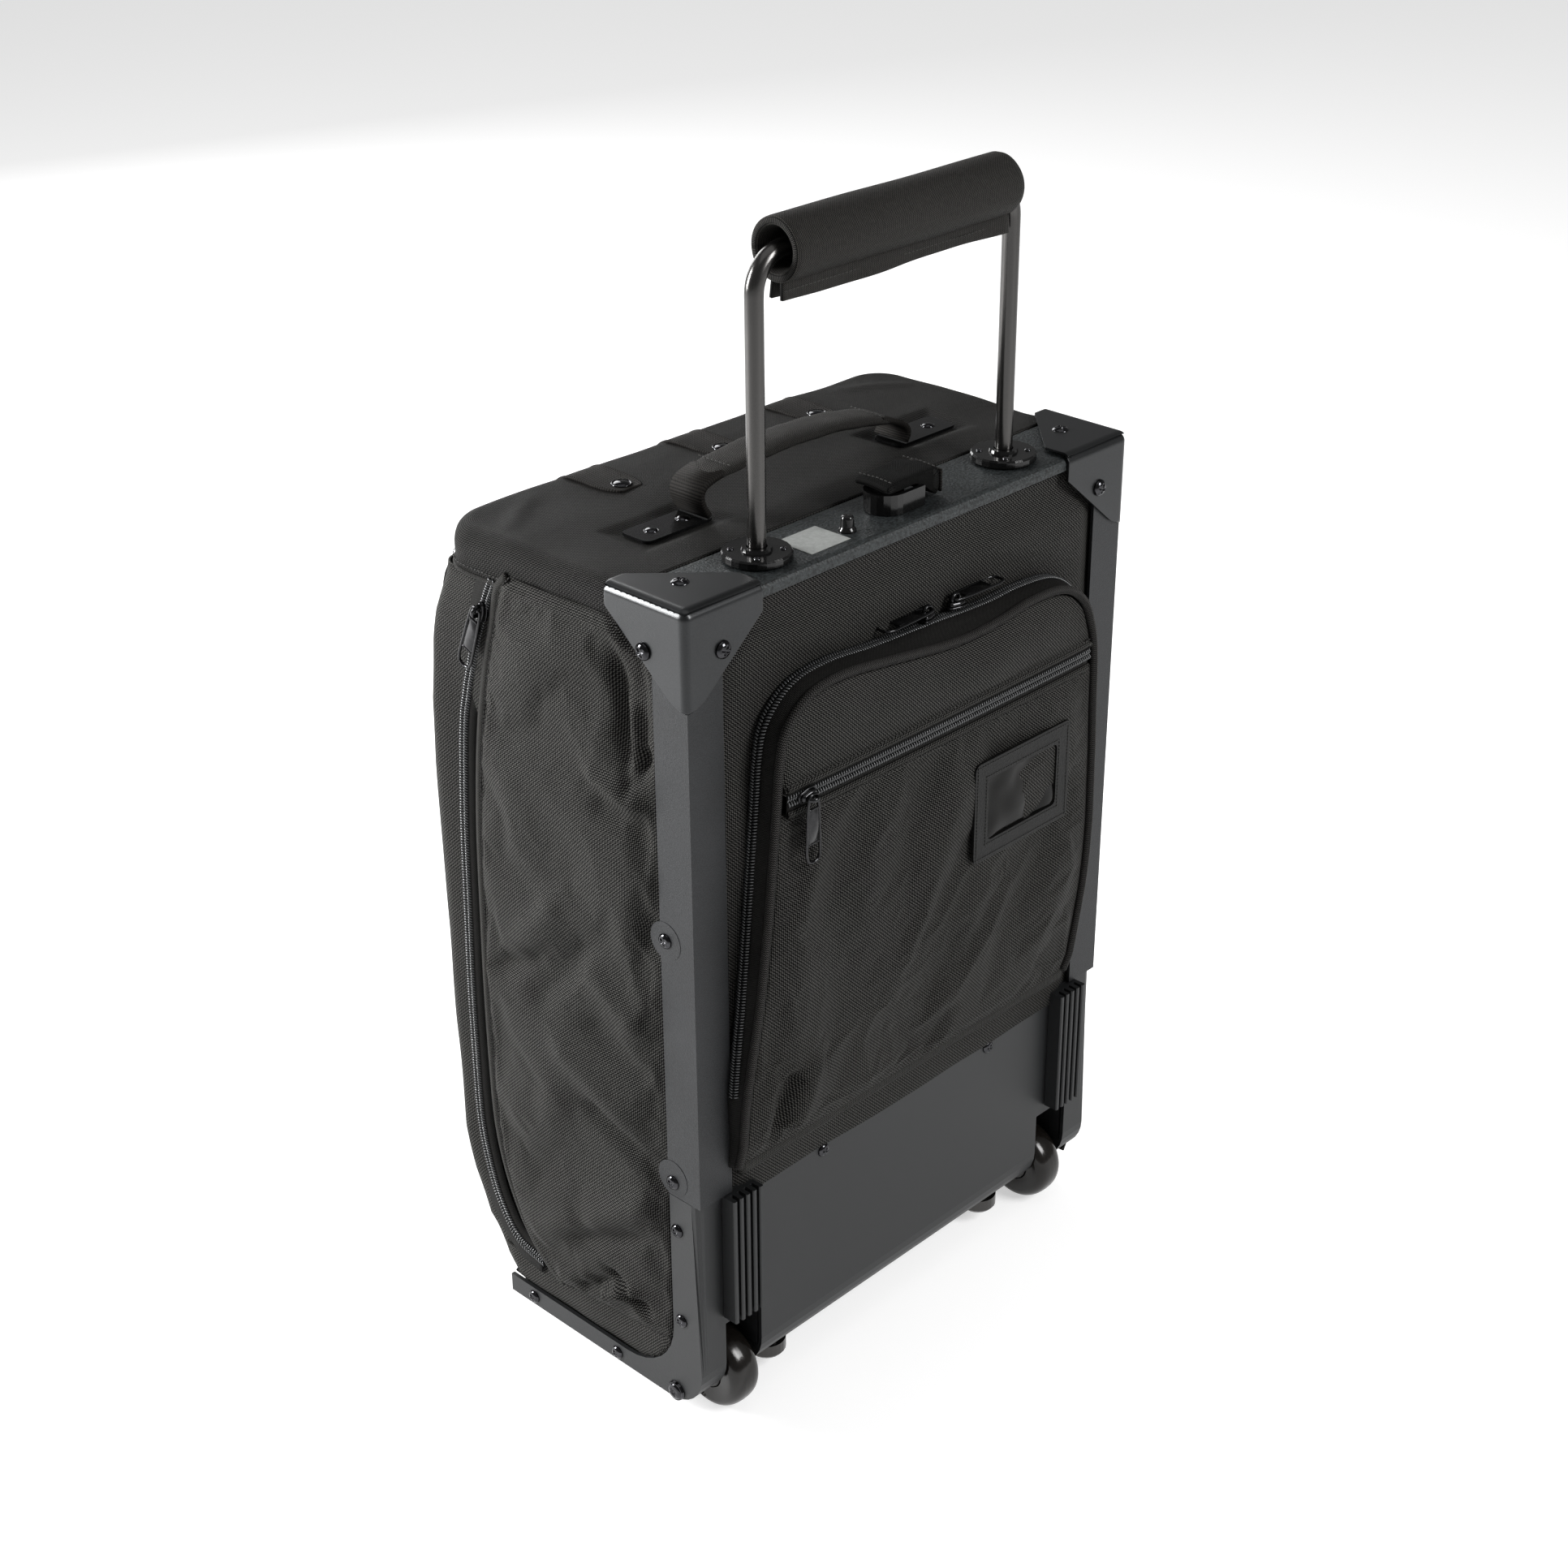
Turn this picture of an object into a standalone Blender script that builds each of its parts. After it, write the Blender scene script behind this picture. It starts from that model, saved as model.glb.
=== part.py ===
"""Softside upright suitcase: a soft fabric bag on an angle-rail frame with a moulded base, two
fixed wheels and a telescoping pull handle.

Units are metres. +Z is up, +X is to the right seen from the wheel side, and +Y points from the
wheel side to the lid. Positions below are written in the case's own depth, where y = 0 is the
rear face of the frame rails; the rig empty moves them so that the origin is the bottom centre.
"""

import math

import bmesh
import bpy
from mathutils import Matrix, Vector

# Driving dimensions
HALF_WIDTH = 0.178
TOP = 0.531
REAR_MOST = -0.0267
FRONT_MOST = 0.2285
MID_DEPTH = 0.5 * (REAR_MOST + FRONT_MOST)
GAP = 0.0003
SIDES = (("left", -1), ("right", 1))

# Frame
RAIL_LEG = 0.0254
RAIL_SHEET = 0.002
RAIL_BOTTOM = 0.1690
PLATE_BOTTOM = 0.524
PLATE_DEPTH = 0.048
PLATE_EDGE_RADIUS = 0.004
EAR_RADIUS = 0.0115
EAR_HEIGHTS = (0.336, 0.181)
GUARD_REACH = 0.055
GUARD_TIP = 0.015
GUARD_TOE = 0.008
GUARD_SHEET = 0.0015
GUARD_BEVEL = 0.0045

# Base tub
TUB_TOP = 0.1687
TUB_REAR = 0.0024
TUB_WALL = 0.0025
TUB_BOTTOM = 0.020
TUB_FRONT = 0.172
TUB_ROUND = 0.0275
STRIP_TOP = 0.0325
CHEEK_FRONT = 0.025

# Wheels
WHEEL_RADIUS = 0.0265
WHEEL_X = 0.143
WHEEL_Y = 0.024
AXLE_RADIUS = 0.004
BORE_RADIUS = AXLE_RADIUS + GAP
WELL = (0.1283, 0.1577)
WELL_FRONT = 0.056
WELL_TOP = 0.076
WELL_WALL = 0.0025
AXLE_BLOCK_TOP = 0.040

# Pull handle
ROD_X = 0.100
ROD_Y = 0.0264
ROD_RADIUS = 0.005
ROD_BOTTOM = 0.130
GRIP_Z = 0.691
GRIP_ENDS = (-0.086, 0.0925)
GRIP_RADIUS = 0.017
GRIP_FLAP_BOTTOM = 0.6645
ROD_BEND = 0.020
TUBE_OUTER = 0.008
TUBE_INNER = 0.0065

# Bag: depth of the front face at each height, and the half width there
FRONT_PROFILE = (
    (0.0240, 0.1675, 0.1700),
    (0.0330, 0.1740, 0.1745),
    (0.0600, 0.1910, 0.1752),
    (0.0700, 0.1940, 0.1775),
    (0.1300, 0.2055, 0.1780),
    (0.2100, 0.2080, 0.1780),
    (0.2900, 0.2085, 0.1780),
    (0.3800, 0.2075, 0.1780),
    (0.4600, 0.2045, 0.1780),
    (0.5080, 0.1955, 0.1775),
    (0.5230, 0.1900, 0.1750),
    (0.5300, 0.1820, 0.1690),
)
BAG_REAR = 0.0055
BAG_WALL = 0.004
BACK_SHEET = 0.003
CAVITY_HALF = 0.1715
CAVITY_TOP = 0.5205
WELL_CLEARANCE = (0.1165, 0.0625, 0.0830)
PANEL_SEAMS = (0.1692, 0.0675, 0.0610, 0.5125)

# Lid and pockets. The lid turns about its lower edge.
LID_BOTTOM = 0.050
LID_AXIS = (0, 0.1855, LID_BOTTOM)
LID_HALF = 0.163
LID_DEPTH = 0.0045
POCKET_HALF = 0.142

# Side pocket: depth of the curved zipper at each height
SIDE_ZIP = (
    (0.060, 0.158),
    (0.075, 0.170),
    (0.100, 0.178),
    (0.160, 0.187),
    (0.250, 0.192),
    (0.373, 0.187),
    (0.440, 0.175),
    (0.480, 0.161),
    (0.500, 0.149),
)

# Back pocket: half width and depth of its face at each height
BACK_POCKET = (
    (0.1700, 0.1500, 0.0010),
    (0.1800, 0.1500, -0.0040),
    (0.2200, 0.1465, -0.0080),
    (0.2800, 0.1410, -0.0130),
    (0.3500, 0.1350, -0.0180),
    (0.4140, 0.1270, -0.0200),
    (0.4400, 0.1220, -0.0190),
    (0.4560, 0.1120, -0.0170),
    (0.4660, 0.0980, -0.0150),
    (0.4720, 0.0800, -0.0120),
)
POCKET_WALL = 0.0025

# Zippers
BACK_ZIP_Z = 0.414
SLIDER_LENGTH = 0.013
SLIDER_WIDTH = 0.009
SLIDER_HEIGHT = 0.0040
PULL_LENGTH = 0.038
PULL_WIDTH = 0.009
PULL_SHEET = 0.0016
PULL_STUB = 0.0008
PULL_LIFT = 0.0008

CARRY_Y = 0.0934
CARRY_AXIS_Z = 0.5354
TAB_XS = (("left", -0.079), ("centre", 0.0), ("right", 0.079))
BUTTON = (-0.040, 0.018)

FINISHES = {
    "fabric": ((0.035, 0.033, 0.030), 0.85, 0.0),
    "lining": ((0.060, 0.062, 0.065), 0.80, 0.0),
    "webbing": ((0.028, 0.027, 0.026), 0.80, 0.0),
    "padding": ((0.036, 0.034, 0.032), 0.85, 0.0),
    "rail": ((0.075, 0.079, 0.085), 0.55, 0.6),
    "guard": ((0.055, 0.058, 0.063), 0.45, 0.7),
    "plate": ((0.050, 0.058, 0.062), 0.60, 0.2),
    "base_plastic": ((0.045, 0.052, 0.058), 0.50, 0.0),
    "gloss_plastic": ((0.012, 0.012, 0.013), 0.20, 0.0),
    "rod": ((0.110, 0.106, 0.102), 0.38, 0.9),
    "tyre": ((0.030, 0.027, 0.025), 0.18, 0.0),
    "hub": ((0.040, 0.040, 0.042), 0.40, 0.0),
    "steel": ((0.300, 0.300, 0.300), 0.35, 1.0),
    "black_metal": ((0.018, 0.018, 0.019), 0.22, 0.8),
    "leather": ((0.025, 0.024, 0.024), 0.50, 0.0),
    "clear": ((0.600, 0.620, 0.640), 0.10, 0.0),
    "rubber": ((0.020, 0.020, 0.020), 0.75, 0.0),
}


def clear_scene():
    for obj in list(bpy.data.objects):
        bpy.data.objects.remove(obj, do_unlink=True)


def make_rig():
    rig = bpy.data.objects.new("suitcase", None)
    bpy.context.scene.collection.objects.link(rig)
    rig.location = (0.0, -MID_DEPTH, 0.0)
    return rig


def make_material(node, finish):
    color, roughness, metallic = FINISHES[finish]
    material = bpy.data.materials.new(f"{node}_{finish}")
    material.use_nodes = True
    shader = material.node_tree.nodes["Principled BSDF"]
    shader.inputs["Base Color"].default_value = (*color, 1.0)
    shader.inputs["Roughness"].default_value = roughness
    shader.inputs["Metallic"].default_value = metallic
    return material


# Shapes


def arc(centre, radius, start, end, steps):
    """Points round a centre from one angle to another, in degrees, both ends included."""
    turn = [math.radians(start + (end - start) * i / steps) for i in range(steps + 1)]
    return [(centre[0] + radius * math.cos(a), centre[1] + radius * math.sin(a)) for a in turn]


def rounded(low, high, radii, steps=3):
    """A rectangle whose corners, from low-low anticlockwise, are rounded by the four radii."""
    (a0, b0), (a1, b1) = low, high
    corners = ((a0, b0, 1, 1, 180), (a1, b0, -1, 1, 270), (a1, b1, -1, -1, 0), (a0, b1, 1, -1, 90))
    points = []
    for (a, b, to_a, to_b, start), radius in zip(corners, radii):
        centre = (a + to_a * radius, b + to_b * radius)
        points += arc(centre, radius, start, start + 90, steps)
    return points


def circle(centre, radius, steps=24):
    return arc(centre, radius, 0, 360, steps)[:-1]


def prism(outline, axis, low, high):
    """The outline, in the two other axes in X, Y, Z order, pushed along one axis."""
    bm = bmesh.new()
    places = {
        "X": lambda a, b, h: (h, a, b),
        "Y": lambda a, b, h: (a, h, b),
        "Z": lambda a, b, h: (a, b, h),
    }
    place = places[axis]
    ends = [[bm.verts.new(place(a, b, h)) for a, b in outline] for h in (low, high)]
    bm.faces.new(ends[0])
    bm.faces.new(ends[1])
    bridge(bm, ends)
    return bm


def box(low, high):
    outline = ((low[0], low[1]), (high[0], low[1]), (high[0], high[1]), (low[0], high[1]))
    return prism(outline, "Z", low[2], high[2])


def bridge(bm, rings):
    """Side faces between each ring of vertices and the next."""
    for lower, upper in zip(rings, rings[1:]):
        for i, vert in enumerate(lower):
            after = (i + 1) % len(lower)
            bm.faces.new((vert, lower[after], upper[after], upper[i]))


def loft(levels):
    """A closed skin through rings of points, one ring at each height."""
    bm = bmesh.new()
    rings = [[bm.verts.new((x, y, z)) for x, y in ring] for z, ring in levels]
    bm.faces.new(rings[0])
    bm.faces.new(rings[-1])
    bridge(bm, rings)
    return bm


def lathe(profile, centre, axis, sides=24):
    """A profile of (radius, distance along the axis) turned round an axis through the centre."""
    bm = bmesh.new()
    turns = {"X": lambda r, h, c, s: (h, r * c, r * s), "Z": lambda r, h, c, s: (r * c, r * s, h)}
    place = turns[axis]
    rings = []
    for radius, height in profile:
        if radius == 0:
            rings.append([bm.verts.new(Vector(centre) + Vector(place(0, height, 1, 0)))])
            continue
        angles = [math.tau * i / sides for i in range(sides)]
        spots = [Vector(place(radius, height, math.cos(a), math.sin(a))) for a in angles]
        rings.append([bm.verts.new(Vector(centre) + spot) for spot in spots])
    closed = profile[0][0] > 0
    pairs = list(zip(rings, rings[1:])) + ([(rings[-1], rings[0])] if closed else [])
    for lower, upper in pairs:
        for i in range(sides):
            after = (i + 1) % sides
            spots = [lower[i % len(lower)], lower[after % len(lower)]]
            spots += [upper[after % len(upper)], upper[i % len(upper)]]
            bm.faces.new(list(dict.fromkeys(spots)))
    return bm


def mirrored(bm, sign):
    """The mesh as modelled for the right side, or its mirror image for the left."""
    bmesh.ops.scale(bm, vec=(sign, 1, 1), verts=bm.verts)
    return bm


# Objects


def link(name, data, pivot):
    obj = bpy.data.objects.new(name, data)
    bpy.context.scene.collection.objects.link(obj)
    obj.parent = RIG
    obj.location = pivot
    return obj


def solid(name, bm, finish, pivot=(0, 0, 0), sharp=35):
    bmesh.ops.recalc_face_normals(bm, faces=bm.faces)
    bmesh.ops.translate(bm, verts=bm.verts, vec=-Vector(pivot))
    mesh = bpy.data.meshes.new(name)
    bm.to_mesh(mesh)
    bm.free()
    mesh.shade_smooth()
    mesh.set_sharp_from_angle(angle=math.radians(sharp))
    mesh.materials.append(make_material(name, finish))
    return link(name, mesh, pivot)


def shape(obj, bm, operation="DIFFERENCE"):
    """A Boolean of the object with a hidden helper, which is returned so that it can be shaped too."""
    bmesh.ops.recalc_face_normals(bm, faces=bm.faces)
    bmesh.ops.translate(bm, verts=bm.verts, vec=-Vector(obj.location))
    name = f"{obj.name}_{operation.lower()}_{len(obj.modifiers)}"
    mesh = bpy.data.meshes.new(name)
    bm.to_mesh(mesh)
    bm.free()
    helper = link(name, mesh, obj.location)
    helper.hide_render = True
    helper.display_type = "WIRE"
    modifier = obj.modifiers.new(name, "BOOLEAN")
    modifier.operation = operation
    modifier.object = helper
    return helper


def wire(name, points, radius, finish, pivot=(0, 0, 0), resolution=2):
    curve = bpy.data.curves.new(name, "CURVE")
    curve.dimensions = "3D"
    curve.bevel_depth = radius
    curve.bevel_resolution = resolution
    curve.use_fill_caps = True
    spline = curve.splines.new("POLY")
    spline.points.add(len(points) - 1)
    for spot, point in zip(spline.points, points):
        spot.co = (*(Vector(point) - Vector(pivot)), 1.0)
    curve.materials.append(make_material(name, finish))
    return link(name, curve, pivot)


# Frame


def frame_rail(side, sign):
    """An angle bar on a rear vertical edge, with two round screw ears on its side leg."""
    outer = HALF_WIDTH
    inner = outer - RAIL_LEG
    angle = ((inner, 0), (outer, 0), (outer, RAIL_LEG), (outer - RAIL_SHEET, RAIL_LEG))
    angle += ((outer - RAIL_SHEET, RAIL_SHEET), (inner, RAIL_SHEET))
    bar = prism(angle, "Z", RAIL_BOTTOM, PLATE_BOTTOM - GAP)
    rail = solid(f"frame_rail_{side}", mirrored(bar, sign), "rail")
    for height in EAR_HEIGHTS:
        ear = prism(circle((RAIL_LEG - 0.004, height), EAR_RADIUS, 20), "X", outer - 0.0016, outer + 0.0002)
        shape(rail, mirrored(ear, sign), "UNION")


def corner_guard(side, sign):
    """A three-faced sheet cap over each top corner, trimmed by one slanting cut."""
    outer = Vector((HALF_WIDTH + GAP + GUARD_SHEET, -GAP - GUARD_SHEET, TOP + GAP + GUARD_SHEET))
    low = (outer.x - GUARD_REACH, outer.y, outer.z - GUARD_REACH)
    bm = box(low, (outer.x, outer.y + GUARD_REACH + 0.004, outer.z))
    near = [e for e in bm.edges if sum(touches_corner(e, outer, axis) for axis in range(3)) == 2]
    bmesh.ops.bevel(bm, geom=near, offset=GUARD_BEVEL, segments=4, profile=0.5, affect="EDGES")
    guard = solid(f"corner_guard_{side}", mirrored(bm, sign), "guard")
    inside = box((0, -GAP, 0.4), (HALF_WIDTH + GAP, 0.1, TOP + GAP))
    shape(guard, mirrored(inside, sign))
    slope = (GUARD_REACH - GUARD_TOE) / (GUARD_REACH - GUARD_TIP)
    slant = Vector((1, -1, slope))
    reach = (GUARD_REACH + slope * GUARD_TIP) / slant.length
    slant.normalize()
    cutter = box((-0.2, -0.2, -0.2), (0.2, 0.2, 0))
    turn = slant.to_track_quat("Z", "Y").to_matrix()
    bmesh.ops.rotate(cutter, cent=(0, 0, 0), matrix=turn, verts=cutter.verts)
    bmesh.ops.translate(cutter, verts=cutter.verts, vec=outer - slant * reach)
    shape(guard, mirrored(cutter, sign))


def touches_corner(edge, corner, axis):
    return all(abs(vert.co[axis] - corner[axis]) < 1e-6 for vert in edge.verts)


def top_plate():
    """The moulded bar across the top, bored for the guide tubes and for the release button."""
    rear = arc((PLATE_EDGE_RADIUS, TOP - PLATE_EDGE_RADIUS), PLATE_EDGE_RADIUS, 90, 180, 4)
    outline = [(PLATE_DEPTH, TOP - 0.001), (PLATE_DEPTH - 0.001, TOP), *rear, (0, PLATE_BOTTOM)]
    outline += [(PLATE_DEPTH, PLATE_BOTTOM)]
    plate = solid("top_plate", prism(outline, "X", -HALF_WIDTH, HALF_WIDTH), "plate")
    for _, sign in SIDES:
        bore = prism(circle((sign * ROD_X, ROD_Y), TUBE_OUTER + GAP), "Z", 0.5, 0.6)
        shape(plate, bore)
    shape(plate, prism(circle(BUTTON, 0.0036, 16), "Z", PLATE_BOTTOM + 0.001, 0.6))


# Base


def cheek_outline(grow=0.0):
    """Side view of the tub's cheeks, as (depth, height); grow widens the upper edge for clearance."""
    front = CHEEK_FRONT + grow
    lower = STRIP_TOP + grow
    sweep = arc((0.066, 0.0735), 0.041 - grow, 180, 270, 8)
    corner = arc((TUB_REAR + TUB_ROUND, TUB_BOTTOM + TUB_ROUND), TUB_ROUND, 180, 270, 8)
    upper = [(TUB_FRONT, lower), *[(y, z) for y, z in reversed(sweep)], (front, TUB_TOP)]
    return [*corner, (TUB_FRONT, TUB_BOTTOM), *upper, (TUB_REAR, TUB_TOP)]


def base_tub():
    """The moulded base: rear panel, floor and side cheeks, with a well for each wheel."""
    outer = prism(cheek_outline(), "X", -HALF_WIDTH, HALF_WIDTH)
    upright = [e for e in outer.edges if is_rear_upright(e)]
    bmesh.ops.bevel(outer, geom=upright, offset=0.005, segments=3, profile=0.5, affect="EDGES")
    tub = solid("base_tub", outer, "base_plastic")
    rear = TUB_REAR + TUB_WALL
    floor = TUB_BOTTOM + TUB_WALL
    centre = (TUB_REAR + TUB_ROUND, TUB_BOTTOM + TUB_ROUND)
    inner = [(rear, 0.3), *arc(centre, TUB_ROUND - TUB_WALL, 180, 270, 8), (0.3, floor), (0.3, 0.3)]
    half = HALF_WIDTH - TUB_WALL
    hollow = shape(tub, prism(inner, "X", -half, half))
    for _, sign in SIDES:
        shape(hollow, mirrored(box((0.1205, -0.1, -0.1), (0.3, 0.0585, AXLE_BLOCK_TOP)), sign))
        shape(tub, mirrored(box((WELL[0], -0.1, -0.1), (WELL[1], WELL_FRONT, WELL_TOP)), sign))
        shape(tub, mirrored(prism(circle((WHEEL_Y, WHEEL_RADIUS), BORE_RADIUS, 20), "X", 0.11, 0.2), sign))
        shape(tub, prism(circle((sign * ROD_X, ROD_Y), TUBE_OUTER + GAP), "Z", 0.0, 0.06))


def is_rear_upright(edge):
    a, b = (vert.co for vert in edge.verts)
    on_side = abs(abs(a.x) - HALF_WIDTH) < 1e-6 and abs(a.x - b.x) < 1e-6
    return on_side and max(a.y, b.y) < TUB_REAR + 1e-5 and max(a.z, b.z) > TUB_TOP - 0.001


def wheel_housing(side, sign):
    low = (WELL[0] - WELL_WALL, TUB_REAR + TUB_WALL + 0.0015, AXLE_BLOCK_TOP + GAP)
    high = (WELL[1] + WELL_WALL, WELL_FRONT + WELL_WALL, WELL_TOP + WELL_WALL)
    housing = solid(f"wheel_housing_{side}", mirrored(box(low, high), sign), "base_plastic")
    shape(housing, mirrored(box((WELL[0], -0.1, 0.0), (WELL[1], WELL_FRONT, WELL_TOP)), sign))


def skid_guard(side, sign):
    """Five upright ribs on a backing strip, where the case slides over kerbs and stairs."""
    ribs, pitch, rib, depth = 5, 0.0052, 0.0030, -0.0080
    x = 0.1355
    outline = [(x, TUB_REAR - GAP)]
    for i in range(ribs):
        start = x + i * pitch
        outline += [(start, depth + 0.0008), (start + 0.0006, depth), (start + rib - 0.0006, depth)]
        outline += [(start + rib, depth + 0.0008)]
        if i < ribs - 1:
            outline += [(start + rib, -0.0015), (start + pitch, -0.0015)]
    outline += [(x + (ribs - 1) * pitch + rib, TUB_REAR - GAP)]
    solid(f"skid_guard_{side}", mirrored(prism(outline, "Z", 0.082, 0.1682), sign), "base_plastic")


def front_foot(side, sign):
    profile = ((0, 0), (0.0095, 0), (0.0105, 0.001), (0.012, TUB_BOTTOM - GAP), (0, TUB_BOTTOM - GAP))
    solid(f"front_foot_{side}", lathe(profile, (sign * 0.135, 0.150, 0), "Z", 20), "rubber")


def wheel(side, sign):
    """Tyre, hub and the bolt they turn on."""
    pivot = (sign * WHEEL_X, WHEEL_Y, WHEEL_RADIUS)
    half = ((0.0188, 0.0112), (0.0226, 0.0104), (0.0250, 0.0078), (0.0262, 0.0042))
    tyre = [(0.0113, 0.0105), *half, (WHEEL_RADIUS, 0), *[(r, -x) for r, x in reversed(half)]]
    tyre += [(0.0113, -0.0105)]
    solid(f"tyre_{side}", lathe(tyre, pivot, "X", 32), "tyre", pivot)
    hub = [(BORE_RADIUS, 0.0118), (0.0088, 0.0118), (0.0110, 0.0106)]
    hub += [(radius, -x) for radius, x in reversed(hub)]
    solid(f"hub_{side}", lathe(hub, pivot, "X", 24), "hub", pivot)
    head = HALF_WIDTH + GAP
    bolt = [(0, 0.1225), (AXLE_RADIUS, 0.1225), (AXLE_RADIUS, head), (0.0065, head)]
    bolt += [(0.0060, head + 0.0015), (0, head + 0.0015)]
    solid(f"axle_{side}", mirrored(lathe(bolt, (0, *pivot[1:]), "X", 20), sign), "steel")


# Pull handle


def guide_tube(side, sign):
    """Tube with its closed foot, and the collar round the rod above it."""
    foot = ((0, 0.010), (0.0105, 0.010), (0.012, 0.012), (0.012, 0.0197), (TUBE_OUTER, 0.0197))
    tube = ((TUBE_OUTER, TOP - GAP), (TUBE_INNER, TOP - GAP), (TUBE_INNER, 0.0142), (0, 0.0142))
    solid(f"guide_tube_{side}", lathe((*foot, *tube), (sign * ROD_X, ROD_Y, 0), "Z"), "rod")
    low = TOP + GAP
    collar = ((0.0056, low), (0.0180, low), (0.0190, low + 0.001), (0.0190, low + 0.0040))
    collar += ((0.0182, low + 0.0050), (0.0085, low + 0.0050), (0.0080, low + 0.0068))
    collar += ((0.0056, low + 0.0068),)
    solid(f"rod_bushing_{side}", lathe(collar, (sign * ROD_X, ROD_Y, 0), "Z"), "gloss_plastic")


def pull_rod():
    """One round rod bent into a U, with a stop on each lower end inside its guide tube."""
    pivot = (0, ROD_Y, GRIP_Z)
    straight = ROD_X - ROD_BEND
    left = [(x, z) for x, z in arc((-straight, GRIP_Z - ROD_BEND), ROD_BEND, 180, 90, 8)]
    right = [(-x, z) for x, z in reversed(left)]
    path = [(-ROD_X, ROD_BOTTOM), *left, *right, (ROD_X, ROD_BOTTOM)]
    wire("pull_rod", [(x, ROD_Y, z) for x, z in path], ROD_RADIUS, "rod", pivot, 3)
    for side, sign in SIDES:
        stop = ((0, ROD_BOTTOM - 0.012), (0.0055, ROD_BOTTOM - 0.012), (0.0060, ROD_BOTTOM - 0.010))
        stop += ((0.0060, ROD_BOTTOM - GAP), (0, ROD_BOTTOM - GAP))
        solid(f"rod_stop_{side}", lathe(stop, (sign * ROD_X, ROD_Y, 0), "Z", 16), "gloss_plastic")


def grip_wrap():
    """Padded sleeve rolled round the bar, with its sewn flap hanging below."""
    centre = (0, ROD_Y, GRIP_Z)
    low, high = GRIP_ENDS
    edge, bore = GRIP_RADIUS - 0.001, GRIP_RADIUS - 0.0047
    profile = [(bore, low), (edge, low), (GRIP_RADIUS, low + 0.002), (GRIP_RADIUS, high - 0.002)]
    profile += [(edge, high), (bore, high)]
    sleeve = solid("grip_wrap", lathe(profile, centre, "X", 28), "padding", centre)
    flap_top = GRIP_Z - GRIP_RADIUS + 0.0035
    flap = box((low + 0.002, ROD_Y - 0.0022, GRIP_FLAP_BOTTOM), (high - 0.002, ROD_Y + 0.0022, flap_top))
    shape(sleeve, flap, "UNION")


def release_button():
    x, y = BUTTON
    low = PLATE_BOTTOM + 0.0063
    profile = [(0, low), (0.0033, low), (0.0033, low + 0.0080), (0.0029, low + 0.0105)]
    profile += [(0.0018, low + 0.0120), (0, low + 0.0125)]
    solid("release_button", lathe(profile, (x, y, 0), "Z", 16), "gloss_plastic", (x, y, low))


# Bag


def front_depth(height):
    """Depth of the bag's front face at a height, straight between the profile's levels."""
    for (z0, y0, _), (z1, y1, _) in zip(FRONT_PROFILE, FRONT_PROFILE[1:]):
        if z0 <= height <= z1:
            return y0 + (y1 - y0) * (height - z0) / (z1 - z0)
    raise ValueError(height)


def bag_shell(name):
    """The fabric body: sides, top, floor and the rim round the opening. Its back is its own sheet."""
    levels = []
    rear = BAG_REAR + BACK_SHEET + GAP
    for z, depth, half in FRONT_PROFILE:
        levels.append((z, rounded((-half, rear), (half, depth), (0.002, 0.002, 0.012, 0.012))))
    shell = solid(name, loft(levels), "fabric")
    levels = []
    for z, depth, _ in ((0.0280, 0.1700, 0), *FRONT_PROFILE[1:-2], (CAVITY_TOP, 0.1900, 0)):
        half = min(CAVITY_HALF, CAVITY_HALF - 0.004 + z - 0.024)
        low, high = (-half, 0), (half, depth - BAG_WALL)
        levels.append((z, rounded(low, high, (0.004, 0.004, 0.010, 0.010))))
    cavity = shape(shell, loft(levels))
    well_x, well_y, well_z = WELL_CLEARANCE
    for _, sign in SIDES:
        kept = box((well_x - BAG_WALL, -0.1, 0.0), (0.2, well_y + BAG_WALL, well_z + BAG_WALL))
        shape(cavity, mirrored(kept, sign))
    opening = rounded((-0.155, 0.058), (0.155, 0.498), (0.02, 0.02, 0.02, 0.02))
    shape(shell, prism(opening, "Y", 0.150, 0.250))
    shape(shell, box((-0.3, -0.1, PLATE_BOTTOM - GAP), (0.3, PLATE_DEPTH + GAP, 0.6)))
    centre = (TUB_REAR + TUB_ROUND, TUB_BOTTOM + TUB_ROUND)
    round_rear = arc(centre, TUB_ROUND - TUB_WALL - GAP, 270, 180, 8)
    corner = [(-0.1, -0.1), (centre[0], -0.1), *round_rear, (-0.1, centre[1])]
    shape(shell, prism(corner, "X", -0.3, 0.3))
    beside_rail = HALF_WIDTH - TUB_WALL - GAP
    for _, sign in SIDES:
        shape(shell, mirrored(prism(cheek_outline(GAP), "X", beside_rail, 0.3), sign))
        rail_lap = box((beside_rail, -0.1, TUB_TOP - 0.01), (0.3, RAIL_LEG + 0.0105, 0.6))
        shape(shell, mirrored(rail_lap, sign))
        shape(shell, mirrored(box((well_x, -0.1, 0.0), (beside_rail - 0.0017, well_y, well_z)), sign))
        axle_block = box((well_x, -0.1, 0.0), (0.3, well_y, AXLE_BLOCK_TOP + GAP))
        shape(shell, mirrored(axle_block, sign))
        shape(shell, prism(circle((sign * ROD_X, ROD_Y), TUBE_OUTER + GAP), "Z", 0.0, 0.6))
    return shell


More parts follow.
